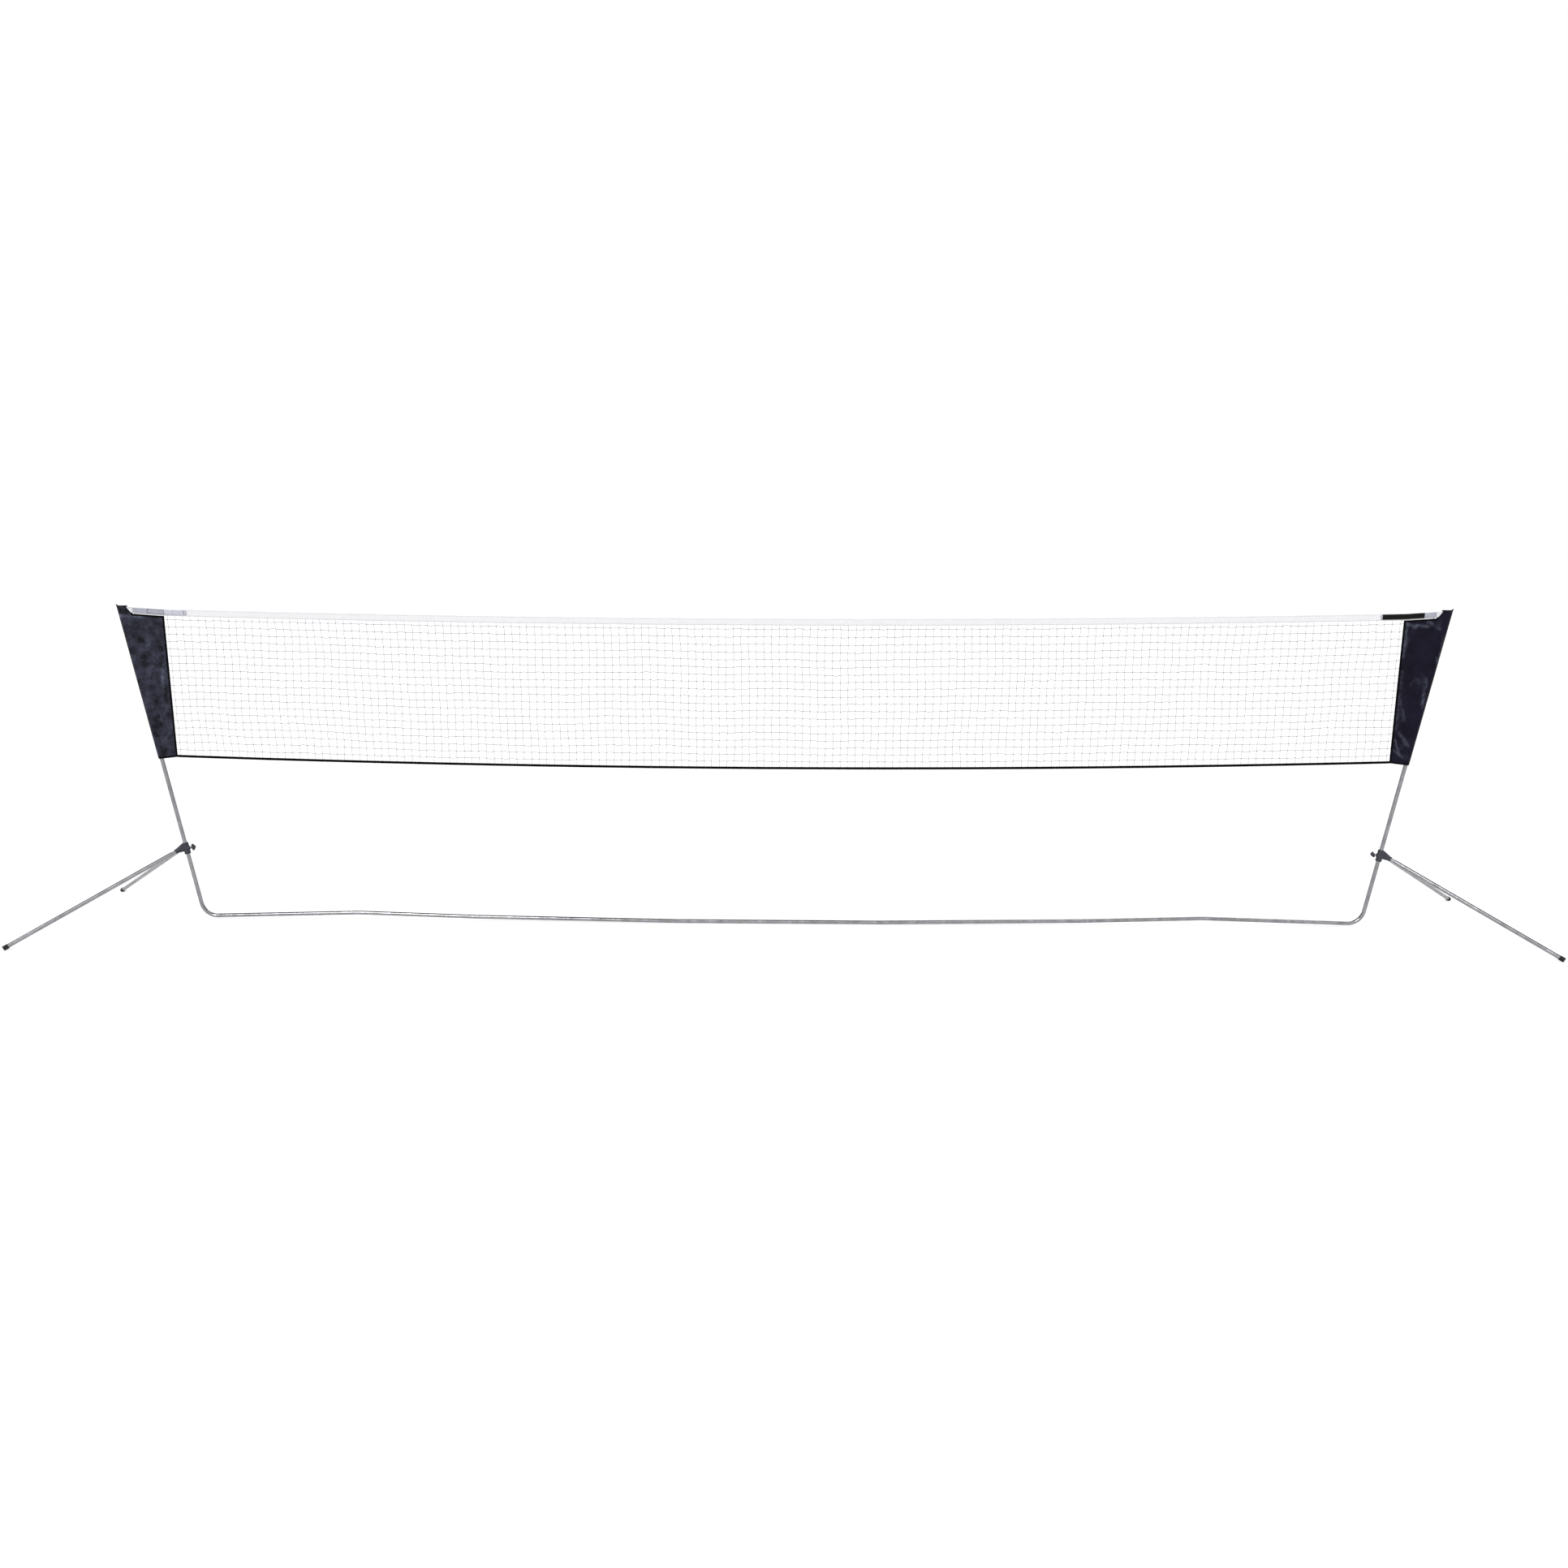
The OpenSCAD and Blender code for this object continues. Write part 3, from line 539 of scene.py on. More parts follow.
def woven(name, dark, light, thread, rows=(), thread_colour="#ffffff", pitch=4 * MM, roughness=0.7,
          specular=0.2, depth=0.12 * MM):
    """Plain weave with optional rows of stitches."""
    made, tree, shader, place = start_material(name, roughness, specular=specular)
    uv = add(tree, "UVMap", uv_map="cloth").outputs[0]
    height = plain_weave(tree, uv, thread, 0.4)
    tone = combine(tree, "ADD", height, clouds(tree, place, 22.0, 4.0))
    colour = two_tone(tree, shader, remap(tree, tone, 0.3, 1.2), dark, light)
    if rows:
        stitches = stitch_rows(tree, uv, rows, pitch)
        sewn = blend(tree, stitches, colour, linear(thread_colour))
        tree.links.new(sewn, shader.inputs["Base Color"])
        # Thread stands three times as high as the weave
        height = combine(tree, "MULTIPLY_ADD", stitches, 3.0, height)
    relief(tree, shader, height, depth)
    return made


# %% The top tape, folded over its cord
TAPE_CLOTH = 0.5 * MM
TAPE_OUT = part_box("top_tape")[1].x
FOLD_R = 1.35 * MM
TAPE_STEP = 12 * MM
TAPE_ROW = 27 * MM  # the upper row of stitches, from the tape's edge; the lower is at 3 mm
SCALLOP = 0.9 * MM
PULL = 1.5 * MM
SWAY = 1.2 * MM


def top_tape():
    stations = np.linspace(-TAPE_OUT, TAPE_OUT, int(2 * TAPE_OUT / TAPE_STEP))
    fold = [math.radians(a) for a in range(0, 181, 30)]
    drop = np.array([0.0, 2, 4, 9, 16, 23, 30]) * MM
    # Across the tape: y to each side, and height over the lower edge
    front = [(-0.85 * MM - 0.5 * MM * min(1, d / (20 * MM)), d) for d in drop]
    cord = [(-FOLD_R * math.cos(a), TAPE_H - 2 * FOLD_R + FOLD_R * math.sin(a)) for a in fold]
    back = [(-y, d) for y, d in reversed(front)]
    profile = front + cord + back
    grid = np.zeros((len(stations), len(profile), 3))
    for i, x in enumerate(stations):
        base = float(top_line(x))
        scallop = SCALLOP * math.cos(2 * math.pi * x / MESH)
        pull = PULL * noise.noise(Vector((x * 9, 2.0, 5.0))) if abs(x) < NET_HALF else 0.0
        steady = min(1.0, abs(TAPE_OUT - abs(x)) / 0.3)
        sway = SWAY * noise.noise(Vector((x * 14, 7.0, 1.0))) * steady
        for k, (y, d) in enumerate(profile):
            share = d / TAPE_H
            lower = scallop * (1 - share) if abs(x) < NET_HALF else 0.0
            grid[i, k] = (x, y + sway * (0.4 + share), base + d + lower * 0.6 + pull * share)
    return grid


tape_grid = top_tape()
tape_flat = path_lengths(tape_grid[len(tape_grid) // 2])[-1]
# White polyester tape: crisp, faintly lilac in its stitch rows
white_tape = woven("polyester_tape_white_woven", "#f8f8fc", "#ffffff", 1.6 * MM,
                   rows=(3 * MM, TAPE_ROW, tape_flat - 3 * MM, tape_flat - TAPE_ROW),
                   thread_colour="#dedeee")
tape = grid_sheet("top_tape_folded", tape_grid, TAPE_CLOTH, white_tape)
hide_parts("top_tape")
print("top tape: cut", round(tape_flat, 4), "x", round(2 * TAPE_OUT, 3), "m")


# %% The bottom hem: a narrow black tape round the net's lower cord
def bottom_hem():
    stations = np.linspace(-NET_HALF + 0.5 * MM, NET_HALF - 0.5 * MM, int(2 * NET_HALF / TAPE_STEP))
    turn = [math.radians(a) for a in range(0, 181, 20)]
    # The section in mm: y, and height over the net's lower line
    lips = [(-0.75, 1.5), (-1.3, -1.5), (-1.7, -4.5)]
    belly = [(-1.8 * math.cos(a), -7.8 - 2.2 * math.sin(a)) for a in turn]
    profile = lips + belly + [(-y, z) for y, z in reversed(lips)]
    grid = np.zeros((len(stations), len(profile), 3))
    for i, x in enumerate(stations):
        base = float(bottom_line(x))
        wave = 0.8 * MM * noise.noise(Vector((x * 7, 1.0, 3.0)))
        for k, (y, z) in enumerate(profile):
            grid[i, k] = (x, y * MM + wave, base + z * MM)
    return grid


hem_grid = bottom_hem()
hem_flat = path_lengths(hem_grid[0])[-1]
# Black polyester tape: deep black, a dull ribbed face
black_tape = woven("polyester_tape_black_woven", "#020203", "#0c0c0e", 1.4 * MM,
                   rows=(3 * MM, hem_flat - 3 * MM), thread_colour="#151518", roughness=0.85,
                   specular=0.02)
hem = grid_sheet("bottom_hem", hem_grid, TAPE_CLOTH, black_tape)
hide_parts("bottom_tape")
print("bottom hem: cut", round(hem_flat, 4), "x", round(2 * NET_HALF, 3), "m")

# %% [markdown]
# ## Sleeves
# Each sleeve is a panel of dark satin-backed polyester, folded round the pole and sewn to itself,
# so it is a pocket with a flat double panel that runs to the net. The pocket's section is known,
# a round pole drawn in to a seam, so the cloth is lofted through it, row by row, from the bottom
# rim to the top rim. Creases are then pressed in along the pull of the net. A cloth simulation
# would find the same tight skin, since the pole fills the pocket, and take far longer.

# %% The sleeve's section and outline
POCKET_R = 12.4 * MM
NOSE_R = 3.6 * MM
LAYER = 0.5 * MM
CLOTH = 0.8 * MM


def pocket_half(u):
    """Half width of the pocket at u metres from the pole's axis towards the net."""
    inner = math.asin((POCKET_R - NOSE_R) / STITCH_U)
    edge = FLANGE - 0.8 * MM
    outer = math.asin((POCKET_R - 0.4 * MM) / edge)
    if u > POCKET_R * math.sin(inner):
        return POCKET_R / math.cos(inner) - u * math.tan(inner)
    if u > -POCKET_R * math.sin(outer):
        return math.sqrt(POCKET_R ** 2 - u * u)
    return max(0.25 * MM, POCKET_R / math.cos(outer) + u * math.tan(outer))


CLOSING_DEPTH = [0.0, 0.5, 1.3, 2.1, 2.9, 3.5, 4.2]
CLOSING_HALF = [0.6, 3.1, 6.1, 8.9, 11.0, 12.2, 12.6]
OPEN_U = 22 * MM  # nearer the mouth than this, the top is left open for the strap


def closing(z):
    """The pocket's greatest half width at height z, where its sewn top draws it together."""
    return float(np.interp((SLEEVE_TOP - z) / MM, CLOSING_DEPTH, CLOSING_HALF)) * MM


def on_pole(u, z):
    """The point (x, z) at distance u from the pole's axis, at height z."""
    return np.array([pole_x(z) - u / math.cos(LEAN), z])


def rim_cross(u, rim):
    """Where the line at distance u along the pole crosses a rim line, given as (x, z) points."""
    offset = [float(np.dot(p - np.array([pole_x(0), 0]), TO_NET)) - u for p in rim]
    for (a, fa), (b, fb) in zip(zip(rim, offset), zip(rim[1:], offset[1:])):
        if fa * fb <= 0 and fa != fb:
            return a + (b - a) * fa / (fa - fb)
    return rim[-1] if abs(offset[-1]) < abs(offset[0]) else rim[0]


RIM_CLEAR = 1.6 * MM
seam_low = np.array([NET_HALF, float(bottom_line(NET_HALF)) - HEM_H])
seam_high = np.array([NET_HALF, NET_TOP_END - RIM_CLEAR])
mouth_z = float(top_line(pole_x(NET_TOP_END) - MOUTH_U)) - RIM_CLEAR
low_rim = [seam_low, on_pole(0, SLEEVE_LOW), on_pole(-FLANGE, SLEEVE_LOW)]
high_rim = [seam_high, on_pole(MOUTH_U, mouth_z), on_pole(FLAT_U, SLEEVE_TOP),
            on_pole(-FLANGE, SLEEVE_TOP)]
# Lines down the sleeve: round the pocket by their distance, over the panel by their share of it
POCKET_U = np.array([60, 55, 49, 44, 39, 33.5, 28, 24, 20, 15, 11, 7.5, 4, 1, -2, -4.5, -7, -9,
                     -10.8, -12.4, -13.8, -15]) * MM
PANEL_SHARE = [1, 0.97, 0.92, 0.86, 0.8, 0.72, 0.64, 0.56, 0.48, 0.4, 0.32, 0.24, 0.17, 0.11, 0.06]
print("sleeve rims:", [p.round(3).tolist() for p in high_rim])


# %% Creases, pressed where the net pulls
def crease(x, z, x_from, z_from, x_to, z_to, width):
    """How much of one crease's height is left at (x, z), from 0 to 1."""
    run_x, run_z = x_to - x_from, z_to - z_from
    length = math.hypot(run_x, run_z)
    along = ((x - x_from) * run_x + (z - z_from) * run_z) / length
    off = ((x - x_from) * run_z - (z - z_from) * run_x) / length
    outside = max(0.0, -along, along - length)
    return math.exp(-(off / width) ** 2 - (outside / (2.5 * width)) ** 2)


# Each crease in mm: x and z of its start, of its end, its width and its height. The last number
# says how strong a painted highlight its crest gets: a paler colour, and more gloss.
CREASES = {
    # A firm sleeve: a pressed line by the mouth, slack by the seam, and a soft fold below
    "left": [(3045, 1499, 3125, 1505, 6, 2.56, 0.9), (2950, 1270, 2965, 1160, 12, 3.52, 0.6),
             (2960, 1330, 3020, 1240, 14, 2.88, 0.3), (3020, 1360, 3080, 1300, 12, 2.56, 0.3),
             (2945, 950, 2985, 900, 10, 3.52, 0.4), (2940, 1080, 2990, 1000, 13, 2.56, 0.3)],
    # A slacker one: waves under the top edge, a long fold by the seam, and rays from the corner
    "right": [(2943, 1489, 2974, 1474, 6, 4.16, 1.0), (2992, 1481, 3032, 1476, 6, 3.84, 1.0),
              (3052, 1492, 3080, 1472, 6, 3.52, 0.9), (2942, 1470, 2938, 1340, 7, 4.16, 0.8),
              (2941, 1250, 2938, 1000, 9, 3.84, 0.45), (3054, 1215, 3047, 1115, 9, 3.84, 0.7),
              (2962, 965, 3000, 915, 8, 4.16, 0.8), (2943, 930, 2962, 875, 7, 4.16, 0.7),
              (2938, 890, 2972, 862, 6, 3.52, 0.6), (3110, 1400, 3098, 1320, 7, 2.56, 0.4),
              (2950, 1120, 2975, 1040, 8, 2.88, 0.4)],
}


SEEDS = {"left": 4.0, "right": 31.0}
UNREST = 0.8 * MM


def cloth_relief(side, x, z):
    """Height of the creased cloth at (x, z), and how strong the painted highlight is there."""
    coarse, fine, patchy = [noise.noise(Vector((x * across, z * up, SEEDS[side])))
                            for across, up in ((24, 11), (50, 30), (90, 55))]
    small = coarse + 0.5 * fine
    folds = [(crease(x / MM, z / MM, *place), high, crest_shine) for *place, high, crest_shine in CREASES[side]]
    height = sum(left * high for left, high, crest_shine in folds) * MM
    # Crease crests and small random patches get a painted highlight: a paler colour standing in for
    # the satin's sheen
    crease_highlight = sum(left * crest_shine for left, high, crest_shine in folds) * max(0.0, 0.75 + 0.9 * patchy)
    return height + UNREST * small, crease_highlight + max(0.0, 0.35 * small)


# %% Lofting one sleeve
NEAR_TOP = np.array([0, 0.5, 1.3, 2.1, 2.9, 3.5, 4.2, 6, 9, 13, 18, 25]) * MM
ROWS_BELOW = 130
FIRST_BELOW = 31 * MM
SEAM_DRAW = 5 * MM  # how fast the pocket flattens to the panel past its seam
STIFF_RIM = 50 * MM  # creases fade out this near the top edge


def sleeve_grid(side):
    """Points [row, column] from the seam along the front, round the pole, and along the back."""
    pocket_line = [rim_cross(STITCH_U, rim) for rim in (low_rim, high_rim)]
    lines = [(pocket_line[0] + share * (seam_low - pocket_line[0]),
              pocket_line[1] + share * (seam_high - pocket_line[1]), None) for share in PANEL_SHARE]
    lines += [(rim_cross(u, low_rim), rim_cross(u, high_rim), u) for u in POCKET_U]
    longest = SLEEVE_TOP - SLEEVE_LOW
    below = np.linspace(1 - FIRST_BELOW / longest, 0.0, ROWS_BELOW)
    rows = np.concatenate([1 - NEAR_TOP / longest, below])[::-1]
    half = len(lines)
    grid = np.zeros((len(rows), 2 * half - 1, 3))
    crease_highlight = np.zeros(grid.shape[:2])
    for i, t in enumerate(rows):
        for k, (low, high, u) in enumerate(lines):
            x, z = low + (high - low) * t
            if u is None:
                low_gap, high_gap = [np.linalg.norm(end - seam)
                                     for end, seam in zip((low, high), pocket_line)]
                gap = low_gap * (1 - t) + high_gap * t
                width = LAYER + (pocket_half(STITCH_U) - LAYER) * math.exp(-(gap / SEAM_DRAW) ** 2)
                both = 1.0
            else:
                width = pocket_half(u) if u > OPEN_U else min(pocket_half(u), closing(z))
                both = max(0.0, (u - 30 * MM) / (30 * MM))
            rise, crest_shine = cloth_relief(side, x, z)
            # The painted highlight at each point, the same on the front and the back layer
            crease_highlight[i, k] = crease_highlight[i, 2 * half - 2 - k] = crest_shine
            ease = min(1.0, (seam_high[1] + STIFF_RIM - z) / STIFF_RIM, t / 0.03 + 0.2)
            ease *= min(1.0, abs(x - NET_HALF) / (6 * MM) + 0.15)
            rise *= max(0.0, ease)
            # Both layers of the panel move together; the pocket can only swell round its pole
            flat = both * rise
            swell = (1 - both) * max(-0.6 * MM, min(rise, 1.0 * MM))
            swell *= 1.0 if width > 4 * MM else 0.2
            grid[i, k] = (x, -width - swell - flat, z)
            if k < half - 1:
                grid[i, 2 * half - 2 - k] = (x, width + swell - flat, z)
    return grid, crease_highlight, half - 1


def row_normals(grid):
    """Unit normals of a grid, out of the folded cloth."""
    down = np.gradient(grid, axis=0)
    across = np.gradient(grid, axis=1)
    out = np.cross(across, down)
    out /= np.maximum(np.linalg.norm(out, axis=-1), 1e-12)[..., None]
    if out[len(out) // 2, 4, 1] > 0:
        out = -out
    return out


def walk(points, normals, distances, lift):
    """Points at given distances along a line of cloth, lifted off it."""
    place = path_lengths(points)
    spots = np.stack([np.interp(distances, place, points[:, k]) for k in range(3)], axis=-1)
    facing = np.stack([np.interp(distances, place, normals[:, k]) for k in range(3)], axis=-1)
    return spots + lift * facing


# %% [markdown]
# The sleeve's cut edges are bound with a folded black tape. Each binding is its own strip: it
# starts a few millimetres in on the front, turns round the edge and ends as far in on the back.
# Walking along the finished cloth gives its points, so it lies in every crease of the sleeve.

# %% Binding strips
BIND_W = 8 * MM
BIND_CLOTH = 0.5 * MM
BIND_LIFT = CLOTH / 2 + BIND_CLOTH / 2 + 0.05 * MM
BIND_STEPS = np.array([1.0, 0.7, 0.4, 0.15]) * BIND_W


def edge_strip(front, front_n, back, back_n):
    """One line across a binding: in on the front, round the shared edge, in on the back."""
    outward = (front[0] - front[2]) + (back[0] - back[2])
    outward /= np.linalg.norm(outward)
    rim = (front[0] + back[0]) / 2 + outward * BIND_LIFT
    return np.vstack([walk(front, front_n, BIND_STEPS, BIND_LIFT), [rim],
                      walk(back, back_n, BIND_STEPS[::-1], BIND_LIFT)])


def hem_strip(line, normals):
    """One line across a hem: in on the outside, then round the edge of a single layer."""
    outward = line[0] - line[2]
    outward /= np.linalg.norm(outward)
    rim = line[:1] + outward * BIND_LIFT
    return np.vstack([walk(line, normals, BIND_STEPS, BIND_LIFT), rim + normals[:1] * 0.2 * MM,
                      rim - normals[:1] * 0.3 * MM])


TAIL = 8 * MM
TAIL_TAPER = ((0.35, 0.75), (0.7, 0.4), (1.0, 0.12))  # share of its length, and width there


def with_tail(strip):
    """The binding's cut end, left proud of the sleeve's outer top corner as a small point."""
    up = np.array([UP_POLE[0] + 0.25, 0.0, UP_POLE[1]])
    middle = strip[-1:, len(strip[0]) // 2]
    point = [middle + (strip[-1:] - middle) * wide + up * TAIL * rise for rise, wide in TAIL_TAPER]
    return np.concatenate([strip] + point)


def bindings(grid, fold):
    """One sleeve's four binding strips. Its grid turns back at the column fold."""
    out = row_normals(grid)
    columns = range(grid.shape[1])
    return {
        "fold": with_tail(np.array([edge_strip(row[fold::-1], n[fold::-1], row[fold:], n[fold:])
                                    for row, n in zip(grid, out)])),
        "seam": np.array([edge_strip(row, n, row[::-1], n[::-1]) for row, n in zip(grid, out)]),
        "bottom": np.array([hem_strip(grid[:, k], out[:, k]) for k in columns]),
        "top": np.array([hem_strip(grid[::-1, k], out[::-1, k]) for k in columns]),
    }


# %% Sleeve cloth: dark polyester with a satin face
def satin(name, dark, light, highlight_colour, patch):
    """A close weave with a painted mottled sheen, and a painted highlight, paler and glossier, on
    its creases.
    """
    made, tree, shader, place = start_material(name, 0.35, sheen=0.03, specular=0.1)
    uv = add(tree, "UVMap", uv_map="cloth").outputs[0]
    # The blotches between the dark and the light colour are a painted mottled sheen of the satin
    sheen_mottle = remap(tree, clouds(tree, place, 1 / patch, 5.0, rough=0.6), 0.35, 0.65)
    ground = blend(tree, sheen_mottle, linear(dark), linear(light))
    # Painted highlight: along the crease crests the colour is lightened towards a pale tone, and
    # the gloss rises too
    crest_highlight_mask = add(tree, "Attribute", attribute_name="crease_highlight").outputs["Fac"]
    broken_highlight = combine(tree, "MULTIPLY", crest_highlight_mask, clouds(tree, place, 130.0, 3.0))
    share = remap(tree, broken_highlight, 0.06, 0.62)
    for result, socket in ((blend(tree, share, ground, linear(highlight_colour)), "Base Color"),
                           (remap(tree, share, 0.0, 1.0, 0.38, 0.24), "Roughness"),
                           (remap(tree, share, 0.0, 1.0, 0.08, 0.5), "Specular IOR Level")):
        tree.links.new(result, shader.inputs[socket])
    # Real threads are 0.3 mm apart, and these are drawn coarser to show
    relief(tree, shader, plain_weave(tree, uv, 1.8 * MM, 0.6), 0.05 * MM)
    return made


# %% Both sleeves, sewn
bind_tape = woven("polyester_binding_black_woven", "#040405", "#0f0f12", 1.2 * MM, rows=(1.6 * MM,),
                  thread_colour="#222226", pitch=3 * MM, roughness=0.8, specular=0.02)
# One satin on both sides: the left sleeve's lighter colours are painted light, the right sleeve's
# darker colours painted shade
sleeve_cloth = {"left": satin("polyester_satin_painted_lit", "#100f15", "#3b3c4b", "#565c73", 42 * MM),
                "right": satin("polyester_satin_painted_shaded", "#0c0917", "#181527", "#454a5e", 60 * MM)}
for side, s in SIDES.items():
    grid, crease_highlight, fold = sleeve_grid(side)
    mirror = np.array([s, 1, 1])
    cloth = grid_sheet(side + "_sleeve_cloth", grid * mirror, CLOTH, sleeve_cloth[side])
    # The painted crease highlight goes to the material as a point attribute
    layer = cloth.data.attributes.new("crease_highlight", "FLOAT", "POINT")
    layer.data.foreach_set("value", crease_highlight.astype(np.float32).ravel())
    tapes = [grid_sheet(f"{side}_binding_{edge}", strip * mirror, BIND_CLOTH, bind_tape) for edge, strip in bindings(grid, fold).items()]
    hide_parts(side + "_sleeve")

# %% [markdown]
# ## Straps
# Inside each sleeve a polypropylene strap goes once round the pole and both legs come out of the
# sleeve's mouth. Hook-and-loop tape on the front closes it. Webbing does not stretch or crumple,
# so it is laid directly along its route, and its ribs are a pattern across the UV map.

# %% The strap's route round the pole
STRAP_T = 1.5 * MM
STRAP_H = 25 * MM
STRAP_V = 1.2 * MM + STRAP_T / 2
STRAP_R = TUBE_R + 0.4 * MM + STRAP_T / 2
STRAP_FLAT = 58 * MM
STRAP_BACK = 118 * MM
STRAP_END = 2.815
STITCH_IN = 2.2 * MM  # the strap's stitch rows, from its edges
strap_z = NET_TOP_END + TAPE_H / 2 + TAPE_SLOPE * (pole_x(NET_TOP) - NET_HALF)
strap_x = pole_x(strap_z)
leave = math.acos(STRAP_R / STRAP_FLAT) + math.atan(STRAP_V / STRAP_FLAT)
around = [STRAP_R * np.array([math.cos(a), math.sin(a)])
          for a in np.linspace(leave, 2 * math.pi - leave, 28)]
back_leg = [np.array([u, STRAP_V]) for u in np.linspace(STRAP_BACK, STRAP_FLAT, 10)]
front_leg = [np.array([u, -STRAP_V]) for u in np.linspace(STRAP_FLAT, strap_x - STRAP_END, 44)]
strap_route = np.array(back_leg + around + front_leg)


def strap_middle(x):
    return float(top_line(x)) + TAPE_H / 2


def lay_on_strap(u, v, rise):
    """A point at u from the pole, v behind the net's plane and rise over the strap's middle."""
    x = strap_x - u
    share = 0.0 if u >= STRAP_FLAT else 1 - max(0.0, u) / STRAP_FLAT
    return (x + rise * math.tan(LEAN) * share, v, strap_middle(min(x, strap_x)) + rise)


STRAP_RISES = np.array([-1, -0.94, -0.5, 0, 0.5, 0.94, 1]) * STRAP_H / 2
END_ROUND = 9 * MM
CROWN = 0.25 * MM  # a patch bulges this much in its middle


def strap_grid(side):
    grid = np.array([[lay_on_strap(u, v, r) for r in STRAP_RISES] for u, v in strap_route])
    # The free end is cut round
    from_end = grid[:, :, 0] - STRAP_END
    pinch = np.sqrt(np.clip(1 - ((END_ROUND - from_end) / END_ROUND).clip(0) ** 2, 0.12, 1))
    middle = grid[:, 3:4, 2]
    grid[:, :, 2] = middle + (grid[:, :, 2] - middle) * pinch
    return grid


def patch_grid(x_in, x_out, lift, trim):
    """A flat tape on the strap's front, between two distances from the middle of the net."""
    half = STRAP_H / 2 - trim
    xs = np.linspace(x_in, x_out, max(6, int((x_out - x_in) / (8 * MM))))
    rises = np.array([-1, -0.93, -0.5, 0, 0.5, 0.93, 1]) * half
    grid = np.zeros((len(xs), len(rises), 3))
    for i, x in enumerate(xs):
        end = min(1.0, min(x - x_in, x_out - x) / (2 * MM))
        for k, r in enumerate(rises):
            edge = 1 - (abs(r) / half) ** 8
            grid[i, k] = (x, -lift - CROWN * edge * (0.4 + 0.6 * end), strap_middle(x) + r)
    return grid


# %% Webbing, loop and hook tape
def napped(name, dark, light, grain, depth, roughness, sheen):
    """A field of tiny loops or hooks: a cellular relief at the real spacing."""
    made, tree, shader, place = start_material(name, roughness, sheen=sheen, specular=0.1)
    field = add(tree, "TexVoronoi", [("Vector", place), ("Scale", 1 / grain)]).outputs[0]
    tone = combine(tree, "ADD", field, clouds(tree, place, 90.0, 4.0))
    two_tone(tree, shader, remap(tree, tone, 0.4, 1.2), dark, light)
    relief(tree, shader, field, depth)
    return made


# Polypropylene webbing: white, coarse-ribbed, with a slight gloss
webbing = woven("polypropylene_webbing", "#f0f0f5", "#fcfcff", 1.7 * MM,
                rows=(STITCH_IN, STRAP_H - STITCH_IN), thread_colour="#d2d2dc", roughness=0.6,
                depth=0.25 * MM)
# Loop tape: a grey brushed nap, soft and matt
loop_tape = napped("nylon_loop_tape_brushed", "#9295a3", "#bcbfcb", 1.4 * MM, 0.3 * MM, 0.9, 0.1)
# The same nap where the strap's doubled end pulls it thin
loop_pale = napped("nylon_loop_tape_worn", "#b9bbca", "#d9dae4", 1.4 * MM, 0.3 * MM, 0.9, 0.1)
# Hook tape: black, a stiff field of small hooks
hook_tape = napped("nylon_hook_tape_moulded", "#060606", "#131312", 1.5 * MM, 0.5 * MM, 0.6, 0.0)
edge_thread = woven("polyester_thread_grey", "#3d3f49", "#5f616c", 1.0 * MM)

# %% Both straps with their patches
LOOP_OUT = strap_x - STRAP_FLAT
LOOP_T = 0.9 * MM
HOOK_T = 1.1 * MM
THREAD_T = 0.4 * MM
PATCH_Y = 1.2 * MM + STRAP_T  # the strap's front face
LOOP_Y = PATCH_Y + LOOP_T / 2
HOOK_Y = PATCH_Y + 1.6 * MM
BOX_Y = PATCH_Y + 1.35 * MM
EDGE = 1.2 * MM  # webbing that shows beyond a loop patch
BOX_IN, BOX_OUT = 2.923, 3.004
TAG_END = 2.831
HOOK_IN, HOOK_OUT = 2.824, 3.018


def stitched_box(side, mirror):
    """The raised outline where a second patch is sewn onto the strap."""
    pieces = []
    z_half = STRAP_H / 2 - STITCH_IN
    for name, x_in, x_out, low, high, points in (
            ("box_top", BOX_IN, BOX_OUT, z_half - 1.6 * MM, z_half, 3),
            ("box_foot", BOX_IN, BOX_OUT, -z_half, -z_half + 1.6 * MM, 3),
            ("box_out", BOX_OUT - 2 * MM, BOX_OUT, -z_half, z_half, 8),
            ("end_stitch", TAG_END - 2 * MM, TAG_END, -z_half, z_half, 8)):
        rises = np.linspace(low, high, points)
        grid = np.array([[(x, -BOX_Y, strap_middle(x) + rise) for rise in rises]
                         for x in np.linspace(x_in, x_out, 12)])
        pieces.append(grid_sheet(f"{side}_{name}", grid * mirror, THREAD_T, edge_thread))
    return pieces


for side, s in SIDES.items():
    mirror = np.array([s, 1, 1])
    grid = strap_grid(side)
    strap = grid_sheet(side + "_strap_webbing", grid * mirror, STRAP_T, webbing)
    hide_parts(side + "_strap")
    loop = patch_grid(BOX_IN if side == "left" else STRAP_END + 2 * MM, LOOP_OUT, LOOP_Y, trim=EDGE)
    patch = grid_sheet(side + "_loop_tape", loop * mirror, LOOP_T, loop_tape)
    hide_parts(side + "_loop_patch")
    on_strap = [patch]
    if side == "left":
        tail = patch_grid(STRAP_END + 4 * MM, BOX_IN - 0.5 * MM, LOOP_Y, trim=EDGE)
        on_strap.append(grid_sheet("left_loop_tail", tail * mirror, LOOP_T, loop_pale))
        on_strap += stitched_box(side, mirror)
    else:
        hook = patch_grid(HOOK_IN, HOOK_OUT, HOOK_Y, trim=0.2 * MM)
        tab = grid_sheet("right_hook_tape", hook * mirror, HOOK_T, hook_tape)
        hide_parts("right_hook_tab")
        on_strap.append(tab)

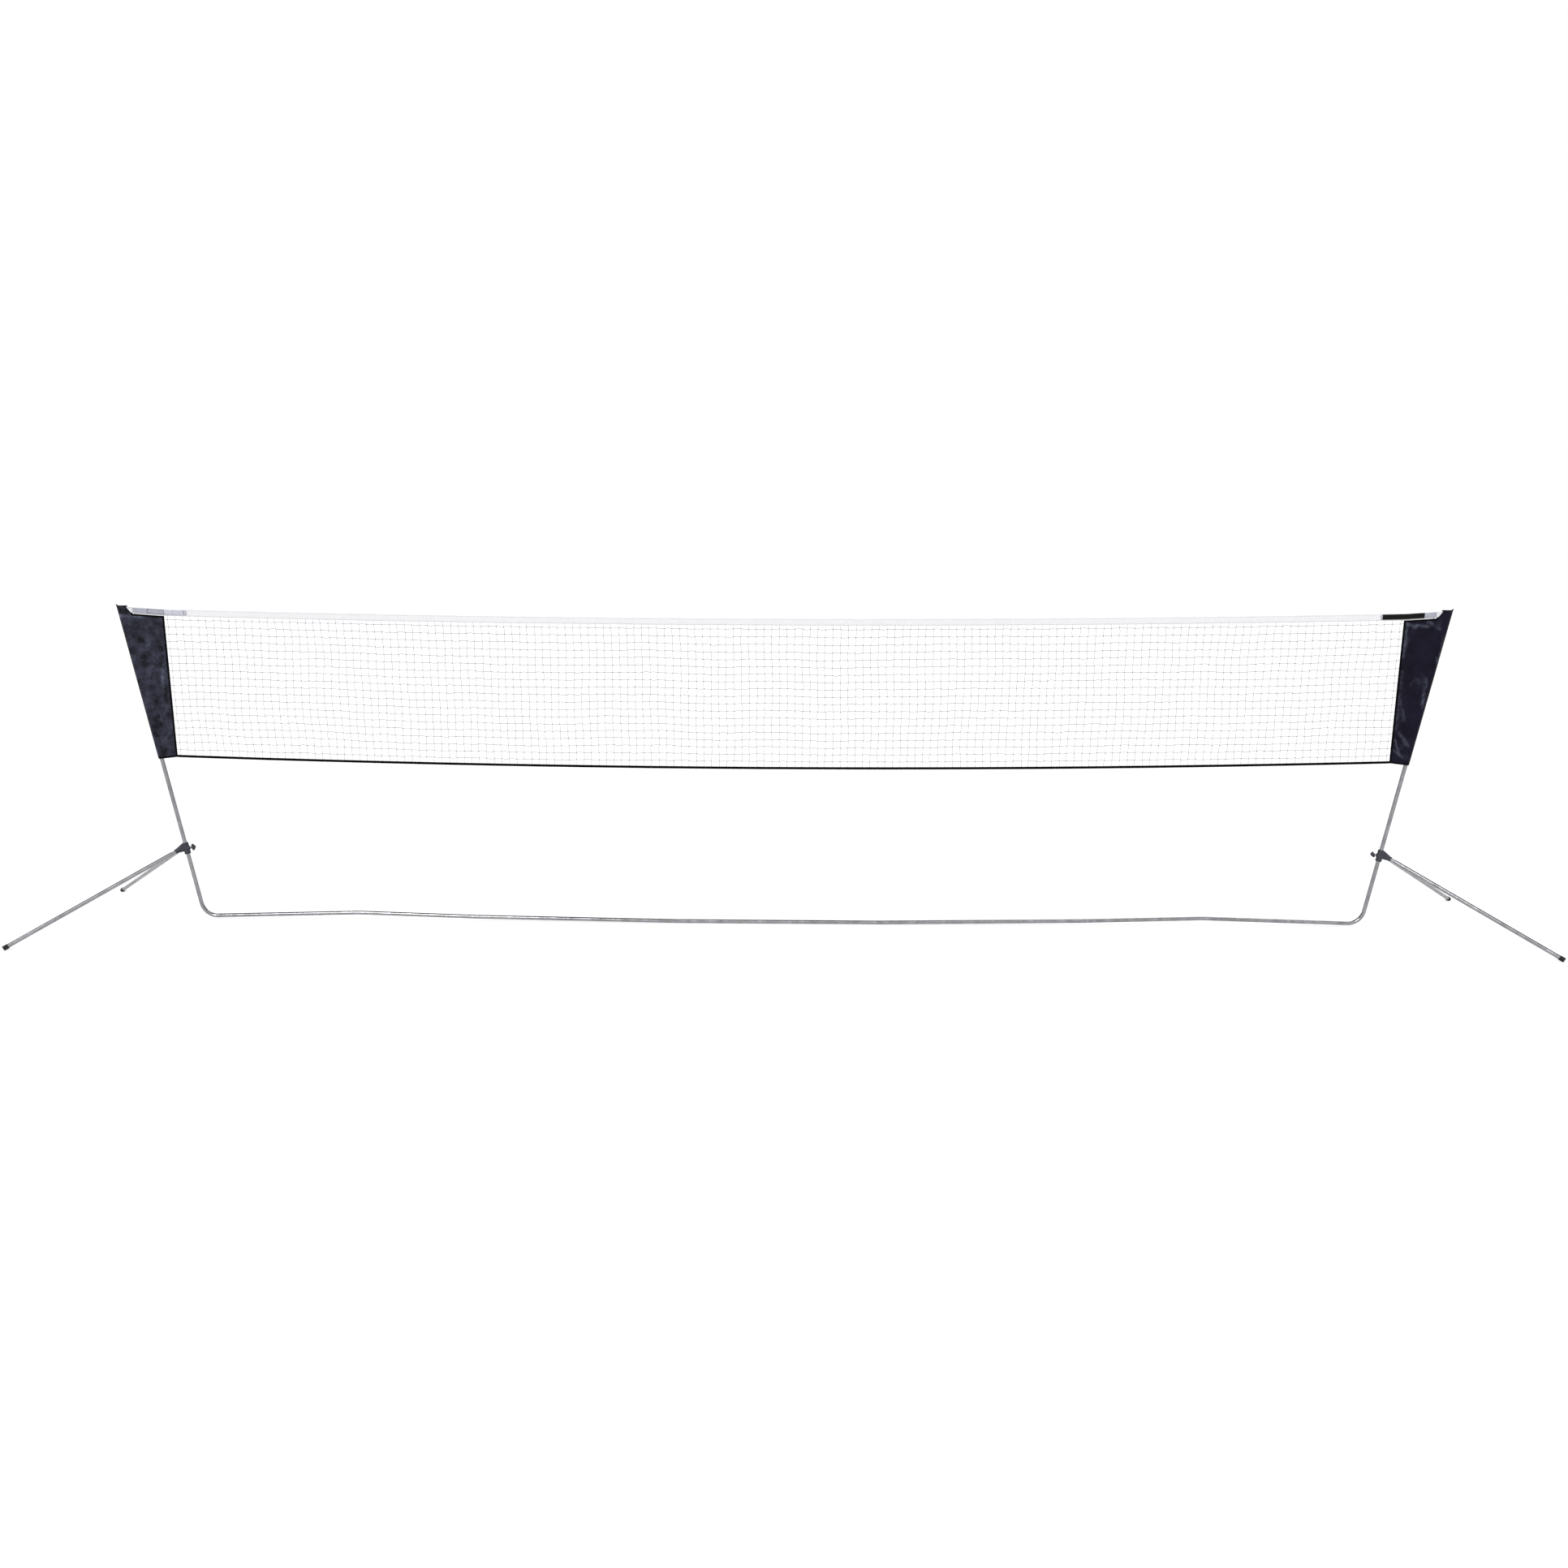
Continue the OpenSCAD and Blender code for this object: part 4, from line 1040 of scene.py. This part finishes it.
# %% [markdown]
# ## The studio
# The set is a white sweep: a pale floor under an even white sky, one far soft box over the front
# left, a weaker one behind, and a long strip in front that draws the white line along each tube.
# The sky is pure white to the camera and in reflections but dimmer as a light, so white cloth
# keeps its folds. Metal needs something dark to mirror, or it looks like grey paint, so
# reflections also see a dim ceiling, from overhead to the back, down to a white band over the
# horizon.

# %% Floor, sky and lamps
def seen_or_mirrored(tree):
    """1 for what the camera sees, straight, in a mirror or through glass."""
    rays = add(tree, "LightPath").outputs
    first = combine(tree, "MAXIMUM", rays["Is Camera Ray"], rays["Is Glossy Ray"])
    return combine(tree, "MAXIMUM", first, rays["Is Transmission Ray"])


WHITE = [1, 1, 1, 1]
FLOOR_SIZE = 80
FLOOR_Z = -0.5 * MM  # clear of the rail, which lies on the ground
FLOOR_DIFFUSE = 0.5
FLOOR_GLOW = 0.6
SKY_LIGHT = 0.62
CEILING = 0.06

floor_look = bpy.data.materials.new("painted_studio_floor")
floor_look.use_nodes = True
tree = floor_look.node_tree
tree.nodes.clear()
paint = add(tree, "BsdfDiffuse", [("Color", [FLOOR_DIFFUSE] * 3 + [1])])
glow = add(tree, "Emission", [("Color", WHITE), ("Strength", FLOOR_GLOW)])
bright = add(tree, "AddShader", [(0, paint.outputs[0]), (1, glow.outputs[0])])
shown = add(tree, "MixShader", [(0, seen_or_mirrored(tree)), (1, paint.outputs[0]),
                                (2, bright.outputs[0])])
add(tree, "OutputMaterial", [(0, shown.outputs[0])])

bpy.ops.object.select_all(action="DESELECT")
bpy.ops.mesh.primitive_plane_add(size=FLOOR_SIZE, location=(0, 0, FLOOR_Z))
floor = bpy.context.object
floor.name = "studio_floor"
floor.data.materials.append(floor_look)

world = bpy.data.worlds.new("white_sweep")
bpy.context.scene.world = world
world.use_nodes = True
tree = world.node_tree
tree.nodes.clear()
# Bright in front and low down, dim overhead and behind: the two ranges are parts of a direction
direction = add(tree, "TexCoord").outputs["Generated"]
depth, height = add(tree, "SeparateXYZ", [(0, direction)]).outputs[1:]
ceiling = remap(tree, depth, -0.3, 0.05, 1.0, CEILING)
horizon = remap(tree, height, 0.06, 0.22, 1.0, 0.0)
rays = add(tree, "LightPath").outputs
mirrored = add(tree, "Mix", [(0, rays["Is Glossy Ray"]), (2, 1.0),
                             (3, combine(tree, "MAXIMUM", ceiling, horizon))])
level = add(tree, "Mix", [(0, seen_or_mirrored(tree)), (2, SKY_LIGHT), (3, mirrored.outputs[0])])
sky = add(tree, "Background", [("Color", WHITE), ("Strength", level.outputs[0])])
add(tree, "OutputWorld", [(0, sky.outputs[0])])


def hang_lamp(name, kind, place, aim, strength, **settings):
    """Hangs a lamp at place, so that its light travels towards aim."""
    lamp = bpy.data.lights.new(name, kind)
    lamp.energy = strength
    for key, value in settings.items():
        setattr(lamp, key, value)
    made = bpy.data.objects.new(name, lamp)
    made.location = place
    made.rotation_euler = (Vector(aim) - Vector(place)).to_track_quat("-Z", "Y").to_euler()
    bpy.context.collection.objects.link(made)


hang_lamp("front_sun", "SUN", (-2.5, -5.0, 5.5), (0, 0, 0), 1.15, angle=math.radians(14))
hang_lamp("back_sun", "SUN", (3.0, 5.0, 7.0), (0, 0, 0), 0.65, angle=math.radians(30))
hang_lamp("front_strip", "AREA", (0, -4.2, 4.6), (0, 0, 0.8), 80,
          shape="RECTANGLE", size=14, size_y=0.5)
print("studio: floor, sky and", len(bpy.data.lights), "lamps")

# %% [markdown]
# ## The camera
# A normal lens at eye height, pitched down a little, so that the near legs open towards the
# viewer and the rail runs across the floor.

# %% Camera
LENS = 26.83
EYE = (0.0973, -5.5624, 1.7924)
PITCH, YAW, ROLL = math.radians(11.046), 0.0134, 0.0030

ahead = Matrix.Rotation(YAW, 3, "Z") @ Vector((0, math.cos(PITCH), -math.sin(PITCH)))
level_right = ahead.cross(Vector((0, 0, 1))).normalized()
level_up = level_right.cross(ahead)
right = math.cos(ROLL) * level_right + math.sin(ROLL) * level_up
up = right.cross(ahead)
camera = bpy.data.objects.new("camera", bpy.data.cameras.new("camera"))
bpy.context.collection.objects.link(camera)
camera.matrix_world = Matrix.Translation(EYE) @ Matrix((right, up, -ahead)).transposed().to_4x4()
camera.data.sensor_width = 36
camera.data.lens = LENS
camera.data.clip_end = 200
bpy.context.scene.camera = camera
bpy.context.scene.view_settings.view_transform = "Standard"
